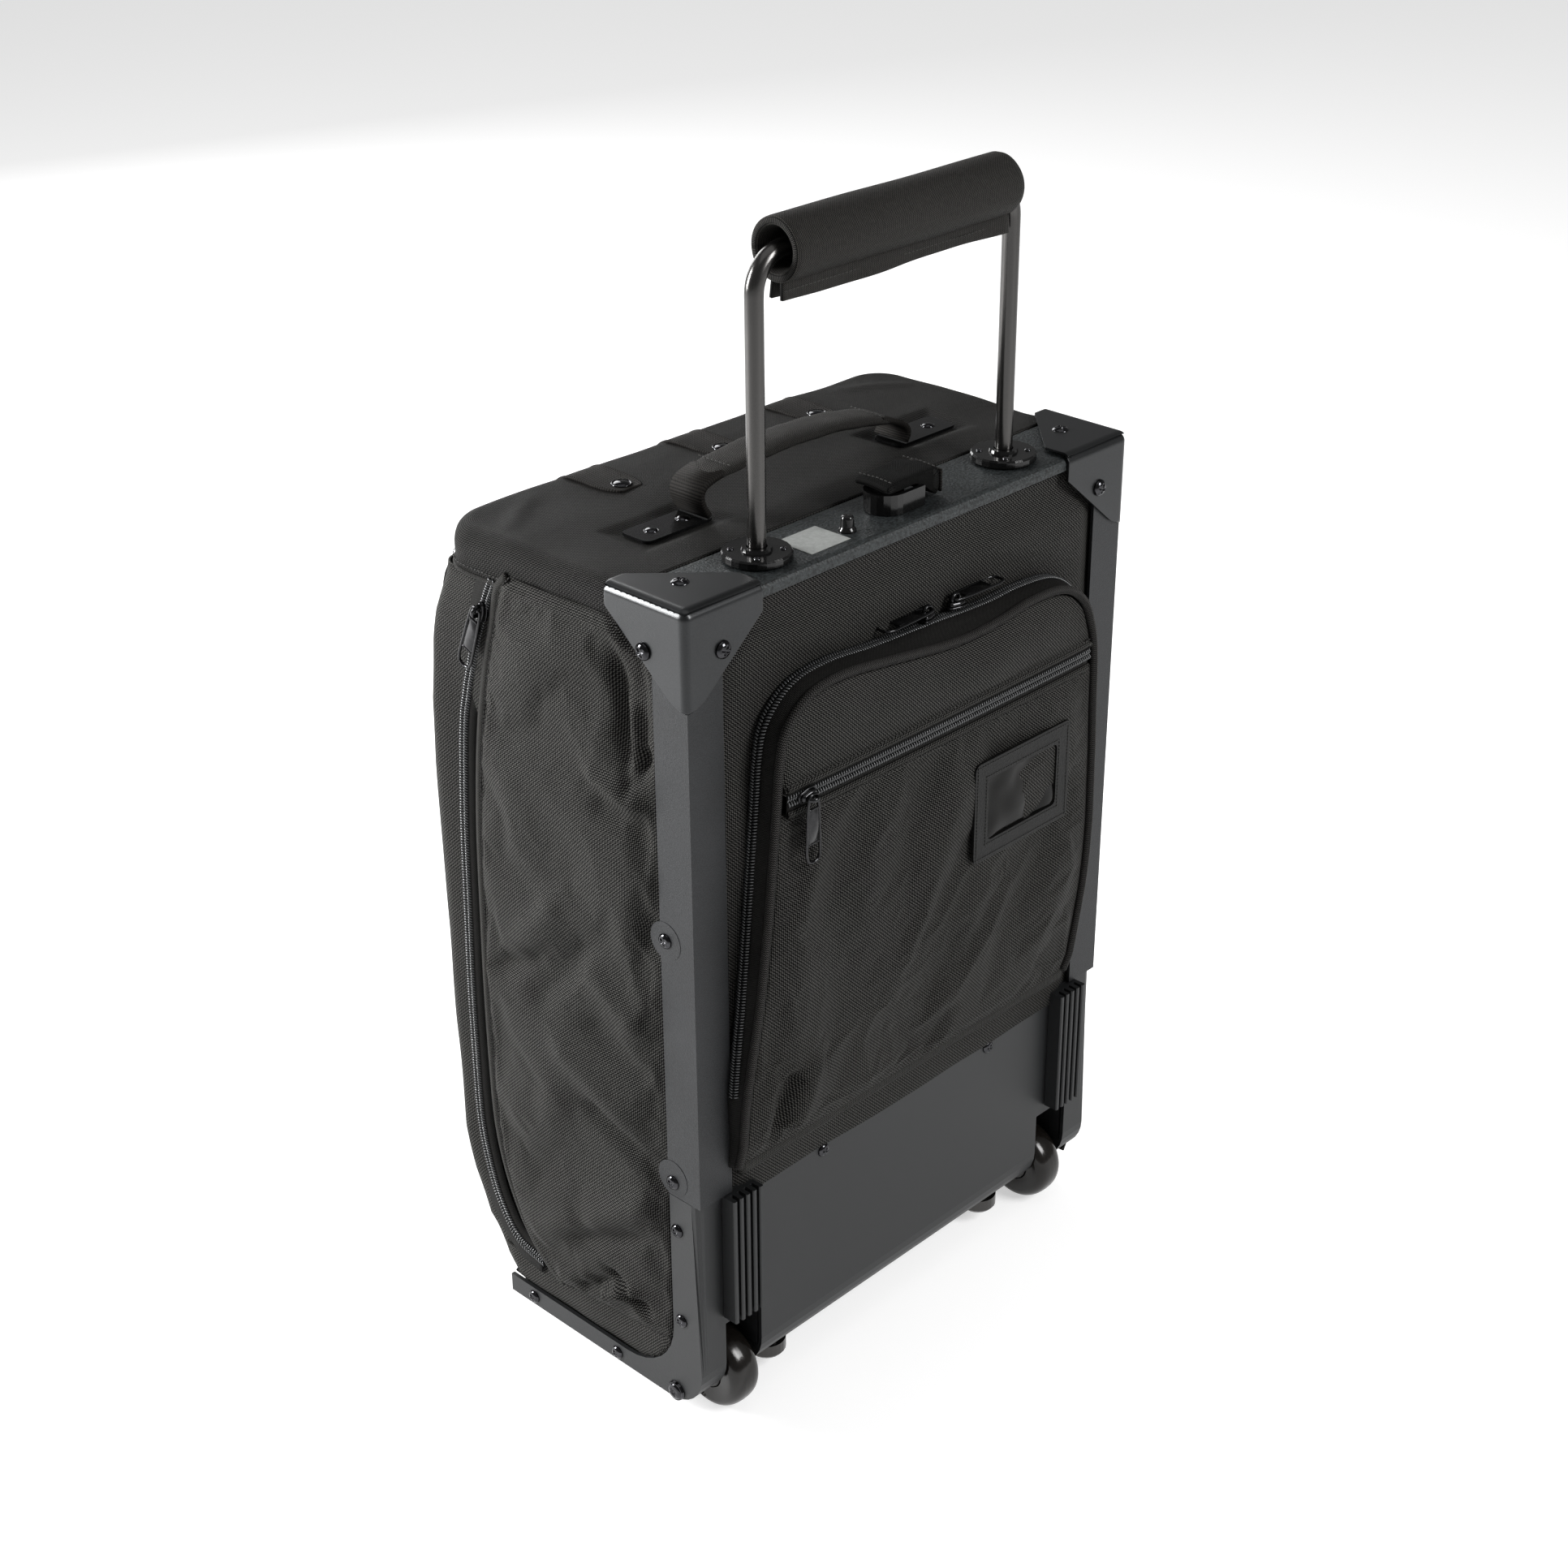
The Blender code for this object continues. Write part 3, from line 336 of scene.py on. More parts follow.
def make_materials():
    # In each woven and ribbed material the dark colour is painted shade in the gaps and the light colour painted
    # highlight on the thread or rib tops.
    M["fabric"] = woven("fabric_weave", FABRIC_SHADED_GAP, FABRIC_LIT_THREAD)
    # Darker fabric for the top panel: painted shade, as less light falls on the top than on the sides.
    M["fabric_top"] = woven("fabric_top_weave", FABRIC_SHADED_GAP, rgb(74, 73, 71))
    M["fabric_bias"] = woven("fabric_bias", FABRIC_SHADED_GAP, FABRIC_LIT_THREAD, bias=True)
    M["tape"] = woven("zip_tape", rgb(7, 7, 7), rgb(62, 61, 59), 0.0009, 0.66, 0.00016, True, 0.012)
    M["piping"] = woven("piping_braid", rgb(12, 12, 12), rgb(92, 90, 88), 0.00135, 0.6, 0.00035, True, 0.03)
    M["padding"] = woven("padding_twill", rgb(8, 8, 8), rgb(92, 90, 87), 0.00105, 0.66, 0.00022, True, 0.03)
    M["lining"] = woven("lining_cloth", rgb(60, 62, 66), rgb(112, 114, 118), 0.0005, 0.55, 0.00006)
    M["felt"] = woven("felt_patch", rgb(4, 4, 4), rgb(46, 46, 45), 0.0011, 0.95, 0.0006, True, 0.02, 0.3)
    M["webbing"] = ribbed("webbing_rib", rgb(6, 6, 6), rgb(42, 40, 38), 0.0016, 0.66, 0.012)
    M["rail"] = moulded("rail_paint", rgb(30, 31, 32), rgb(50, 51, 53), 0.44, 1300.0, 0.00022, 0.25, specular=0.5)
    M["guard"] = moulded("guard_paint", rgb(48, 49, 50), rgb(58, 59, 60), 0.30, 1700.0, 0.00002, 0.65, specular=0.8)
    M["plate"] = hammered("plate_grain", rgb(14, 16, 16), rgb(50, 54, 55))
    M["base_plastic"] = moulded("base_plastic", rgb(30, 31, 32), rgb(40, 41, 42), 0.46, 1300.0, 0.00008)
    M["gloss_plastic"] = moulded("gloss_black", rgb(14, 14, 14), rgb(24, 24, 24), 0.16, 700.0, 0.00003)
    M["rod"] = moulded("rod_satin", rgb(84, 83, 82), rgb(88, 87, 86), 0.24, 900.0, 0.00001, 0.95, scuff=0.03)
    M["tyre"] = moulded("tyre_gloss", rgb(20, 18, 16), rgb(32, 29, 26), 0.20, 300.0, 0.00006)
    M["hub"] = moulded("hub_plastic", rgb(28, 27, 27), rgb(40, 39, 38), 0.38, 900.0, 0.00006)
    M["steel"] = moulded("steel", rgb(120, 120, 120), rgb(160, 160, 160), 0.30, 900.0, 0.00004, 1.0)
    M["black_metal"] = moulded("black_chrome", rgb(44, 44, 45), rgb(62, 62, 63), 0.17, 500.0, 0.00004, 0.85, specular=0.6)
    M["chrome"] = moulded("screw_chrome", rgb(58, 58, 60), rgb(84, 84, 86), 0.13, 400.0, 0.00003, 1.0)
    M["coil"] = moulded("coil_nylon", rgb(44, 45, 46), rgb(74, 75, 76), 0.20, 900.0, 0.00003, specular=0.8)
    M["leather"] = grained("leather_grain", rgb(13, 13, 13), rgb(30, 30, 29))
    M["clear"] = clear_film("clear_film")
    M["label"] = moulded("label_paper", rgb(122, 124, 122), rgb(146, 148, 146), 0.55, 400.0, 0.00002)
    M["rubber"] = moulded("rubber_matte", rgb(22, 22, 22), rgb(34, 34, 34), 0.75, 900.0, 0.0001)
    M["thread"] = moulded("thread", rgb(30, 30, 29), rgb(60, 59, 57), 0.6, 2500.0, 0.0001)


def finish_cad():
    """Node materials and softened edges for the CAD parts that stay."""
    for name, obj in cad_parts.items():
        slot = CAD_SLOTS.get(name.replace("_left", "").replace("_right", ""), "base_plastic")
        for i in range(len(obj.material_slots)):
            obj.material_slots[i].material = M[slot]
        if not obj.material_slots:
            obj.data.materials.append(M[slot])
        width = BEVELS.get(name.replace("_left", "").replace("_right", ""), 0.0)
        if width:
            bevel = obj.modifiers.new("edge", "BEVEL")
            bevel.width, bevel.segments, bevel.limit_method = width, 3, "ANGLE"
            bevel.angle_limit = math.radians(50)
            bevel.use_clamp_overlap = True
            obj.modifiers.new("shade", "WEIGHTED_NORMAL").keep_sharp = False


CAD_SLOTS = {
    "frame_rail": "rail", "corner_guard": "guard", "top_plate": "plate", "base_tub": "base_plastic",
    "wheel_housing": "base_plastic", "skid_guard": "base_plastic", "front_foot": "rubber", "axle": "chrome",
    "hub": "hub", "tyre": "tyre", "guide_tube": "rod", "rod_bushing": "gloss_plastic",
    "rod_stop": "gloss_plastic", "pull_rod": "rod", "handle_plate": "black_metal", "strap_hook": "gloss_plastic",
    "release_button": "gloss_plastic", "id_window_frame": "leather",
}
BEVELS = {
    "frame_rail": 0.0003, "top_plate": 0.0006, "base_tub": 0.0008, "skid_guard": 0.0003, "handle_plate": 0.0004,
    "strap_hook": 0.0008, "id_window_frame": 0.0005, "front_foot": 0.0005, "corner_guard": 0.0002,
    "rod_bushing": 0.0004,
}


# Shapes: every list of points is a numpy array of case coordinates

def piece(name, verts, faces, material, body="case", replaces=(), weave=None, smooth=True):
    verts = np.asarray(verts, float).reshape(-1, 3) + (0.0, SHIFT, 0.0)
    mesh = bpy.data.meshes.new(name)
    mesh.from_pydata(verts.tolist(), [], faces)
    mesh.update()
    if weave is not None:
        layer = mesh.attributes.new("weave", "FLOAT_VECTOR", "POINT")
        layer.data.foreach_set("vector", np.asarray(weave, np.float32).ravel())
    if smooth:
        mesh.shade_smooth()
    mesh.materials.append(M[material])
    obj = bpy.data.objects.new(name, mesh)
    bpy.context.scene.collection.objects.link(obj)
    if isinstance(body, tuple):
        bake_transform(obj)
    else:
        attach(obj, body)
    if replaces:
        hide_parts(*replaces)
    return obj


def flat_lengths(points):
    """Distances along rows and columns from the middle of a grid, so that a weave lies flat on it."""
    def run(axis):
        steps = np.linalg.norm(np.diff(points, axis=axis), axis=2)
        total = np.cumsum(steps, axis=axis)
        total = np.insert(total, 0, 0.0, axis=axis)
        middle = total.take([total.shape[axis] // 2], axis=axis)
        return total - middle
    return np.stack([run(1), run(0), np.zeros(points.shape[:2])], axis=2)


def grid_faces(rows, columns, close_rows=False, close_columns=False, start=0, flip=False):
    i, j = np.meshgrid(np.arange(rows if close_rows else rows - 1),
                       np.arange(columns if close_columns else columns - 1), indexing="ij")
    a, b = i * columns + j, i * columns + (j + 1) % columns
    c, d = (i + 1) % rows * columns + (j + 1) % columns, (i + 1) % rows * columns + j
    quads = np.stack([a, d, c, b] if flip else [a, b, c, d], axis=2).reshape(-1, 4) + start
    return quads.tolist()


def grid(name, points, material="fabric", body="case", replaces=(), weave=None, thickness=0.0,
         flip=False, close_columns=False, close_rows=False):
    points = np.asarray(points, float)
    rows, columns = points.shape[:2]
    if weave is None:
        weave = flat_lengths(points)
    faces = grid_faces(rows, columns, close_rows, close_columns, 0, flip)
    obj = piece(name, points, faces, material, body, replaces, weave)
    if thickness:
        solid = obj.modifiers.new("thickness", "SOLIDIFY")
        solid.thickness, solid.offset = thickness, -1.0
    return obj


def resample(points, step):
    points = np.asarray(points, float)
    run = np.insert(np.cumsum(np.linalg.norm(np.diff(points, axis=0), axis=1)), 0, 0.0)
    count = max(2, int(round(run[-1] / step)) + 1)
    at = np.linspace(0, run[-1], count)
    return np.stack([np.interp(at, run, points[:, k]) for k in range(points.shape[1])], axis=1)


def curve(points, step=0.003, closed=False):
    """A smooth path through points."""
    p = np.asarray(points, float)
    n = len(p)
    out = []
    for i in range(n if closed else n - 1):
        p0 = p[i - 1] if closed or i else 2 * p[0] - p[1]
        p1, p2 = p[i], p[(i + 1) % n]
        p3 = p[(i + 2) % n] if closed or i + 2 < n else 2 * p[-1] - p[-2]
        for t in np.linspace(0, 1, 12, endpoint=False):
            out.append(0.5 * (2 * p1 + (p2 - p0) * t + (2 * p0 - 5 * p1 + 4 * p2 - p3) * t * t
                              + (3 * p1 - p0 - 3 * p2 + p3) * t ** 3))
    out.append(p[0] if closed else p[-1])
    return resample(out, step)


def unit(v):
    v = np.asarray(v, float)
    return v / np.maximum(np.linalg.norm(v, axis=-1, keepdims=True), 1e-12)


def directions(path, closed=False):
    if closed:
        return unit(np.roll(path, -1, axis=0) - np.roll(path, 1, axis=0))
    return unit(np.gradient(path, axis=0))


def sweep(name, path, normal, profile, material, body="case", replaces=(), closed=False, caps=True,
          scale=None, thickness=0.0):
    """A closed profile of (across, outward) points carried along a path. normal is one vector or one each."""
    path, normal = np.asarray(path, float), np.asarray(normal, float)
    if closed:
        path = path[:-1]
        normal = normal[:len(path)] if normal.ndim == 2 else normal
    tangent = directions(path, closed)
    normal = np.broadcast_to(normal, path.shape)
    normal = unit(normal - tangent * (normal * tangent).sum(1, keepdims=True))
    across = np.cross(tangent, normal)
    profile = np.asarray(profile, float)
    wide = np.ones(len(path)) if scale is None else np.asarray(scale, float)
    points = (path[:, None] + across[:, None] * (profile[None, :, :1] * wide[:, None, None])
              + normal[:, None] * (profile[None, :, 1:2] * wide[:, None, None]))
    rows, columns = points.shape[:2]
    along = np.insert(np.cumsum(np.linalg.norm(np.diff(path, axis=0), axis=1)), 0, 0.0)
    ring = np.insert(np.cumsum(np.linalg.norm(np.diff(profile, axis=0), axis=1)), 0, 0.0)
    weave = np.zeros((rows, columns, 3))
    weave[..., 0], weave[..., 1] = along[:, None], ring[None]
    faces = grid_faces(rows, columns, closed, True)
    if caps and not closed:
        faces += [list(range(columns))[::-1], list(range((rows - 1) * columns, rows * columns))]
    return piece(name, points, faces, material, body, replaces, weave)


def circle(radius, sides=12, squash=1.0):
    turn = np.linspace(0, 2 * math.pi, sides, endpoint=False)
    return np.stack([radius * np.cos(turn), radius * squash * np.sin(turn)], axis=1)


def lathe(name, profile, centre, axis, material, body="case", replaces=(), sides=64):
    """Revolve (radius, along) points round an axis vector through a centre, closed into a ring."""
    axis = unit(axis)
    first = unit(np.cross(axis, (0.3, 0.5, 0.8)))
    second = np.cross(axis, first)
    turn = np.linspace(0, 2 * math.pi, sides, endpoint=False)
    round_ = first * np.cos(turn)[:, None] + second * np.sin(turn)[:, None]
    profile = np.asarray(profile, float)
    points = np.asarray(centre) + profile[:, None, :1] * round_[None] + profile[:, None, 1:] * axis
    faces = grid_faces(len(profile), sides, True, True)
    return piece(name, points, faces, material, body, replaces)


def rounded_profile(points, radius=0.0006, steps=3):
    """Replace each corner of a closed (radius, along) outline by a short arc."""
    p = np.asarray(points, float)
    out = []
    for i, here in enumerate(p):
        before, after = p[i - 1] - here, p[(i + 1) % len(p)] - here
        cut = min(radius, 0.4 * np.linalg.norm(before), 0.4 * np.linalg.norm(after))
        a, b = here + unit(before) * cut, here + unit(after) * cut
        for t in np.linspace(0, 1, steps + 1):
            out.append((1 - t) ** 2 * a + 2 * t * (1 - t) * here + t * t * b)
    return np.array(out)


class Batch:
    """Many small closed shapes gathered into one piece."""

    def __init__(self):
        self.verts, self.faces, self.count = [], [], 0

    def add(self, verts, faces):
        self.faces += [[k + self.count for k in face] for face in faces]
        verts = np.asarray(verts, float).reshape(-1, 3)
        self.verts.append(verts)
        self.count += len(verts)

    def make(self, name, material, body="case", replaces=()):
        verts = np.concatenate(self.verts)
        return piece(name, verts, self.faces, material, body, replaces, np.zeros((len(verts), 3)))


def ring_faces(rings, sides):
    """Faces of a closed string of rings with an n-gon at each end."""
    faces = grid_faces(rings, sides, False, True)
    return faces + [list(range(sides))[::-1], list(range((rings - 1) * sides, rings * sides))]


def zip_teeth(batch, path, normal, half=0.0037, lift=0.0012):
    path = resample(path, TOOTH_PITCH)
    tangent = directions(path)
    normal = np.broadcast_to(np.asarray(normal, float), path.shape) if np.ndim(normal) == 1 else resample_like(normal, path)
    normal = unit(normal - tangent * (normal * tangent).sum(1, keepdims=True))
    across = np.cross(tangent, normal)
    turn = np.linspace(0, 2 * math.pi, 6, endpoint=False)
    stations = ((0.0001, 0.00050, lift - 0.0003), (0.0019, 0.00066, lift + 0.0002), (half, 0.00046, lift - 0.0006))
    faces = ring_faces(3, 6)
    for side in (-1, 1):
        centre = path + tangent * (0.0004 if side > 0 else -0.0004)
        rings = []
        for s, radius, up in stations:
            slant = s * 0.28
            ring = (centre[:, None] + across[:, None] * (side * s) + tangent[:, None] * (slant + radius * np.cos(turn))[None, :, None]
                    + normal[:, None] * (up + radius * np.sin(turn))[None, :, None])
            rings.append(ring)
        teeth = np.stack(rings, axis=1)
        order = faces if side > 0 else [face[::-1] for face in faces]
        for tooth in teeth:
            batch.add(tooth, order)


def resample_like(values, path):
    values = np.asarray(values, float)
    at = np.linspace(0, len(values) - 1, len(path))
    return np.stack([np.interp(at, np.arange(len(values)), values[:, k]) for k in range(3)], axis=1)


TAPE_PROFILE = ((-0.0112, -0.0001), (-0.0035, 0.0004), (0.0035, 0.0004), (0.0112, -0.0001), (0.0110, -0.0007),
                (-0.0110, -0.0007))


def zipper(name, path, normal, body="case", tape=True, width=1.0):
    path = np.asarray(path, float)
    if tape:
        profile = np.asarray(TAPE_PROFILE) * (width, 1.0)
        sweep(f"{name}_tape", path, normal, profile, "tape", body)
    batch = Batch()
    zip_teeth(batch, path, normal)
    batch.make(f"{name}_coil", "coil", body)


def piping(name, path, normal, radius=0.0026, body="case", closed=False):
    return sweep(name, path, normal, circle(radius, 10), "piping", body, closed=closed)


def stitches(name, path, normal, body="case", pitch=0.0030, length=0.0022, radius=0.00028, material="thread"):
    path = resample(path, pitch)
    tangent = directions(path)
    normal = np.broadcast_to(np.asarray(normal, float), path.shape) if np.ndim(normal) == 1 else resample_like(normal, path)
    normal = unit(normal - tangent * (normal * tangent).sum(1, keepdims=True))
    across = np.cross(tangent, normal)
    turn = np.linspace(0, 2 * math.pi, 6, endpoint=False)
    batch = Batch()
    faces = ring_faces(4, 6)
    for k in range(len(path)):
        rings = []
        for s, r, up in ((-0.5, 0.5, -0.6), (-0.3, 1.0, 0.2), (0.3, 1.0, 0.2), (0.5, 0.5, -0.6)):
            ring = (path[k] + tangent[k] * s * length + across[k] * (r * radius * np.cos(turn))[:, None]
                    + normal[k] * (up * radius + r * radius * np.sin(turn))[:, None])
            rings.append(ring)
        batch.add(np.stack(rings), faces)
    return batch.make(name, material, body)


def dome(batch, centre, axis, radius, height, cross=0.0, flange=0.0):
    """A low round head; cross is the half width of the driver recess."""
    axis = unit(axis)
    first = unit(np.cross(axis, (0.31, 0.52, 0.8)))
    second = np.cross(axis, first)
    sides, rings = 40, 12
    turn = np.linspace(0, 2 * math.pi, sides, endpoint=False)
    levels = [(radius * 0.98, -0.0006)]
    if flange:
        levels += [(radius + flange, 0.0), (radius + flange, flange * 0.5), (radius + flange * 0.4, flange * 0.7)]
    for k in range(rings):
        a = math.pi / 2 * k / rings
        levels.append((radius * math.cos(a), height * math.sin(a)))
    levels.append((radius * 0.02, height))
    verts = []
    for r, up in levels:
        ring = np.stack([r * np.cos(turn), r * np.sin(turn), np.full(sides, up)], axis=1)
        if cross:
            inside = np.minimum(np.abs(ring[:, 0]), np.abs(ring[:, 1])) < cross
            inside &= np.hypot(ring[:, 0], ring[:, 1]) < radius * 0.56
            ring[inside, 2] -= 0.0009
        verts.append(ring)
    local = np.stack(verts)
    points = np.asarray(centre) + local[..., :1] * first + local[..., 1:2] * second + local[..., 2:] * axis
    batch.add(points, ring_faces(len(levels), sides))


# Profile of the bag: height, depth of its front face, half width

FRONT_PROFILE = np.array((
    (0.0240, 0.1675, 0.1700), (0.0330, 0.1740, 0.1745), (0.0450, 0.1835, 0.1750), (0.0600, 0.1910, 0.1752),
    (0.0700, 0.1940, 0.1775), (0.1300, 0.2055, 0.1780), (0.2100, 0.2080, 0.1780), (0.2900, 0.2085, 0.1780),
    (0.3800, 0.2075, 0.1780), (0.4600, 0.2045, 0.1780), (0.5080, 0.1955, 0.1775), (0.5230, 0.1900, 0.1750),
    (0.5300, 0.1820, 0.1690),
))


def front_depth(z):
    return np.interp(z, FRONT_PROFILE[:, 0], FRONT_PROFILE[:, 1])


def half_width(z):
    return np.interp(z, FRONT_PROFILE[:, 0], FRONT_PROFILE[:, 2])


def ripple(points, amount, scale, seed=0.0, stretch=(1, 1, 1)):
    """Slow noise at each point, from -amount to amount."""
    flat = np.asarray(points, float).reshape(-1, 3)
    out = [noise.noise(Vector((p[0] * stretch[0] / scale + seed, p[1] * stretch[1] / scale + 3.1,
                               p[2] * stretch[2] / scale + 7.7))) for p in flat]
    return (np.array(out) * 2 * amount).reshape(np.asarray(points).shape[:-1])


def strokes(a, b, table):
    """Sum of soft ridges. Each row: start a, b, end a, b, width, height; a negative height is a crease."""
    total = np.zeros_like(a)
    for a0, b0, a1, b1, width, height in table:
        along = np.array((a1 - a0, b1 - b0))
        length = np.linalg.norm(along)
        t = ((a - a0) * along[0] + (b - b0) * along[1]) / length ** 2
        across = ((a - a0) * along[1] - (b - b0) * along[0]) / length
        fade = np.exp(-(np.clip(np.abs(t - 0.5) - 0.32, 0, None) / 0.16) ** 2)
        total += height * np.exp(-(across / width) ** 2) * fade
    return total


def relax_cloth(obj, pinned, frames=20, shrink=-0.02, pressure=0.0, cap=0.006, gravity=0.0, stiffness=20.0):
    """Cloth run with some points held, its result applied, no point further than cap from its start."""
    mesh = obj.data
    start = np.array([v.co for v in mesh.vertices])
    group = obj.vertex_groups.new(name="held")
    for weight in np.unique(pinned):
        if weight > 0:
            group.add(np.nonzero(pinned == weight)[0].tolist(), float(weight), "REPLACE")
    cloth = obj.modifiers.new("cloth", "CLOTH")
    s = cloth.settings
    s.vertex_group_mass, s.shrink_min, s.shrink_max = "held", shrink, shrink
    s.quality, s.mass, s.air_damping = 6, 0.3, 2.0
    s.tension_stiffness = s.compression_stiffness = stiffness
    s.shear_stiffness, s.bending_stiffness = stiffness * 0.4, 0.6
    if pressure:
        s.use_pressure, s.uniform_pressure_force = True, pressure
    s.effector_weights.gravity = gravity
    cloth.collision_settings.use_collision = False
    cloth.point_cache.frame_start, cloth.point_cache.frame_end = 1, frames
    scene = bpy.context.scene
    for number in range(1, frames + 1):
        scene.frame_set(number)
    result = obj.evaluated_get(bpy.context.evaluated_depsgraph_get())
    moved = np.array([v.co for v in result.data.vertices])
    obj.modifiers.remove(cloth)
    scene.frame_set(1)
    step = moved - start
    far = np.linalg.norm(step, axis=1, keepdims=True)
    step *= np.minimum(1.0, cap / np.maximum(far, 1e-9))
    mesh.vertices.foreach_set("co", (start + step).ravel().astype(np.float32))
    mesh.update()


# Corner guards, each a three-faced sheet cap with rounded edges

GUARD_CORNER = (HALF + 0.0018, -0.0018, 0.5328)


def guard_reach(down, limit=0.059):
    """How far a guard's side reaches at a distance below its corner."""
    reach = np.minimum(limit, 0.0726 - 1.175 * down)
    tip = np.clip((down - 0.0505) / 0.0045, 0, 1)
    return np.where(down > 0.055, -1.0, reach * np.sqrt(1 - 0.96 * tip * tip))


def guard_cover(inward, z):
    """1 where a guard lies over the fabric, falling to 0 a little way outside it."""
    down = np.clip(GUARD_CORNER[2] - z, 0, None)
    margin = np.minimum(guard_reach(np.minimum(down, 0.05499)) - inward, (0.055 - down) * 1.2)
    t = np.clip((margin + 0.0085) / 0.0085, 0, 1)
    return t * t * (3 - 2 * t)


def cheek_cover(y, z):
    """1 where the base's cheek lies over the fabric, from its curved upper edge down."""
    past = np.hypot(np.minimum(y - 0.066, 0), np.minimum(z - 0.0735, 0)) - 0.041
    t = np.clip((past + 0.0006) / 0.0016, 0, 1) * (z < TUB_TOP)
    return t * t * (3 - 2 * t)


def corner_guard(side, sign):
    count, radius = 56, 0.0048
    down = 0.055 * np.linspace(0, 1, count)
    share = np.linspace(0, 1, count)
    faces = []
    sheet = guard_reach(down)[:, None] * share[None]
    faces.append(np.stack([np.zeros_like(sheet), sheet, np.broadcast_to(down[:, None], sheet.shape)], axis=2))
    sheet = guard_reach(down, 0.055)[:, None] * share[None]
    faces.append(np.stack([sheet, np.zeros_like(sheet), np.broadcast_to(down[:, None], sheet.shape)], axis=2))
    across = 0.055 * share
    sheet = np.minimum(0.059, 0.0726 - across)[:, None] * share[None]
    faces.append(np.stack([np.broadcast_to(across[:, None], sheet.shape), sheet, np.zeros_like(sheet)], axis=2))
    verts, quads = [], []
    for k, face in enumerate(faces):
        inside = np.clip(radius - face, 0, None)
        far = np.linalg.norm(inside, axis=2, keepdims=True)
        face = np.maximum(face, radius) - radius * inside / np.maximum(far, 1e-9)
        world = np.array(GUARD_CORNER) * (sign, 1, 1) + face * (-sign, 1, -1)
        quads += grid_faces(count, count, start=k * count * count, flip=(k == 1) != (sign > 0))
        verts.append(world.reshape(-1, 3))
    obj = piece(f"guard_cap_{side}", np.concatenate(verts), quads, "guard", "case", (f"corner_guard_{side}",))
    weld = obj.modifiers.new("weld", "WELD")
    weld.merge_threshold = 0.0002
    solid = obj.modifiers.new("sheet", "SOLIDIFY")
    solid.thickness, solid.offset = 0.0014, -1.0
    edge = obj.modifiers.new("edge", "BEVEL")
    edge.width, edge.segments, edge.limit_method, edge.angle_limit = 0.0003, 2, "ANGLE", math.radians(50)


# Bag body

def bag_body():
    """Sides and front rim of the bag as one wrap, open at the back and round the lid's opening."""
    heights = np.concatenate([np.linspace(0.0245, 0.07, 12), np.linspace(0.076, 0.506, 72)])
    for side, sign in SIDES:
        rows = []
        for z in heights:
            half, front = half_width(z) - 0.0004, front_depth(z)
            turn = np.linspace(0, math.pi / 2, 9)
            sunk = 0.0052 if 0.075 < z < 0.49 else 0.0018
            y_side = np.linspace(0.0095, front - 0.012, 40)
            dip = sunk * np.clip(np.minimum((y_side - 0.006) / 0.02, (front - 0.050 - y_side) / 0.02), 0, 1)
            line = [(half - d, y, z) for y, d in zip(y_side, dip)]
            line += [(half - 0.012 + 0.012 * math.cos(a), front - 0.012 + 0.012 * math.sin(a), z) for a in turn[1:]]
            line += [(x, front, z) for x in np.linspace(half - 0.014, 0.155, 4)]
            rows.append(line)
        points = np.array(rows)
        bulge = ripple(points, 0.0016, 0.050, 2.0 + sign, (1, 1, 0.6)) * np.clip((points[..., 1] - 0.1) / 0.05, 0, 1)
        tuck = np.clip((points[..., 2] - 0.478) / 0.022, 0, 1)
        bulge = bulge * (1 - tuck) - 0.0014 * tuck * np.clip((points[..., 1] - 0.170) / 0.02, 0, 1)
        points[..., 0] += bulge
        points[..., 1] += 0.5 * bulge
        full = 0.0052 * np.clip((points[..., 1] - 0.180) / 0.016, 0, 1) * np.clip((points[..., 0] - 0.160) / 0.012, 0, 1)
        full *= np.interp(points[..., 2], (0.05, 0.10, 0.42, 0.482), (0.35, 1.0, 1.0, 0.0))
        points[..., 0] += 0.7 * full
        points[..., 1] += 0.7 * full
        points[..., 0] *= sign
        grid(f"bag_wrap_{side}", points, thickness=0.0015, flip=sign < 0,
             replaces=(f"bag_side_{side}",))
    for name, low, high, count, hidden in (("bag_foot_front", 0.0245, 0.0575, 9, ("bag_foot",)),
                                           ("bag_rim_top", 0.498, 0.512, 5, ("bag_rim",))):
        z, x = np.meshgrid(np.linspace(low, high, count), np.linspace(-0.1552, 0.1552, 60), indexing="ij")
        points = np.stack([x, front_depth(z) + 0.0, z], axis=2)
        points[..., 1] += ripple(points, 0.0006, 0.03, 4.0)
        grid(name, points, thickness=0.0015, replaces=hidden)
    floor_line = np.linspace(-0.1695, 0.1695, 40)
    y, x = np.meshgrid(np.linspace(0.030, 0.1685, 20), floor_line, indexing="ij")
    points = np.stack([x, y, np.full_like(x, 0.0240)], axis=2)
    grid("bag_floor", points, thickness=0.0015, flip=True, replaces=("bag_heel",))


def rim_binding():
    """Bound edge round the lid's opening, inside the lid zipper."""
    path = perimeter(0.1552, 0.0580, 0.4980, 0.020, 0.0)
    sweep("opening_binding", path, outline_normals(path), circle(0.0022, 10), "tape", closed=True)


def perimeter(half, low, high, radius, proud, step=0.004):
    """Rounded rectangle on the front face, as a closed path."""
    corners = ((half, low, -90), (half, high, 0), (-half, high, 90), (-half, low, 180))
    line = []
    for x, z, start in corners:
        cx, cz = x - math.copysign(radius, x), z + (radius if z == low else -radius)
        for a in np.radians(np.linspace(start, start + 90, 9)):
            line.append((cx + radius * math.cos(a), cz + radius * math.sin(a)))
    line.append(line[0])
    line = resample(line, step)
    return np.stack([line[:, 0], front_depth(line[:, 1]) + proud, line[:, 1]], axis=1)


def outline_normals(path):
    return np.broadcast_to(np.array((0.0, 1.0, 0.0)), path.shape)


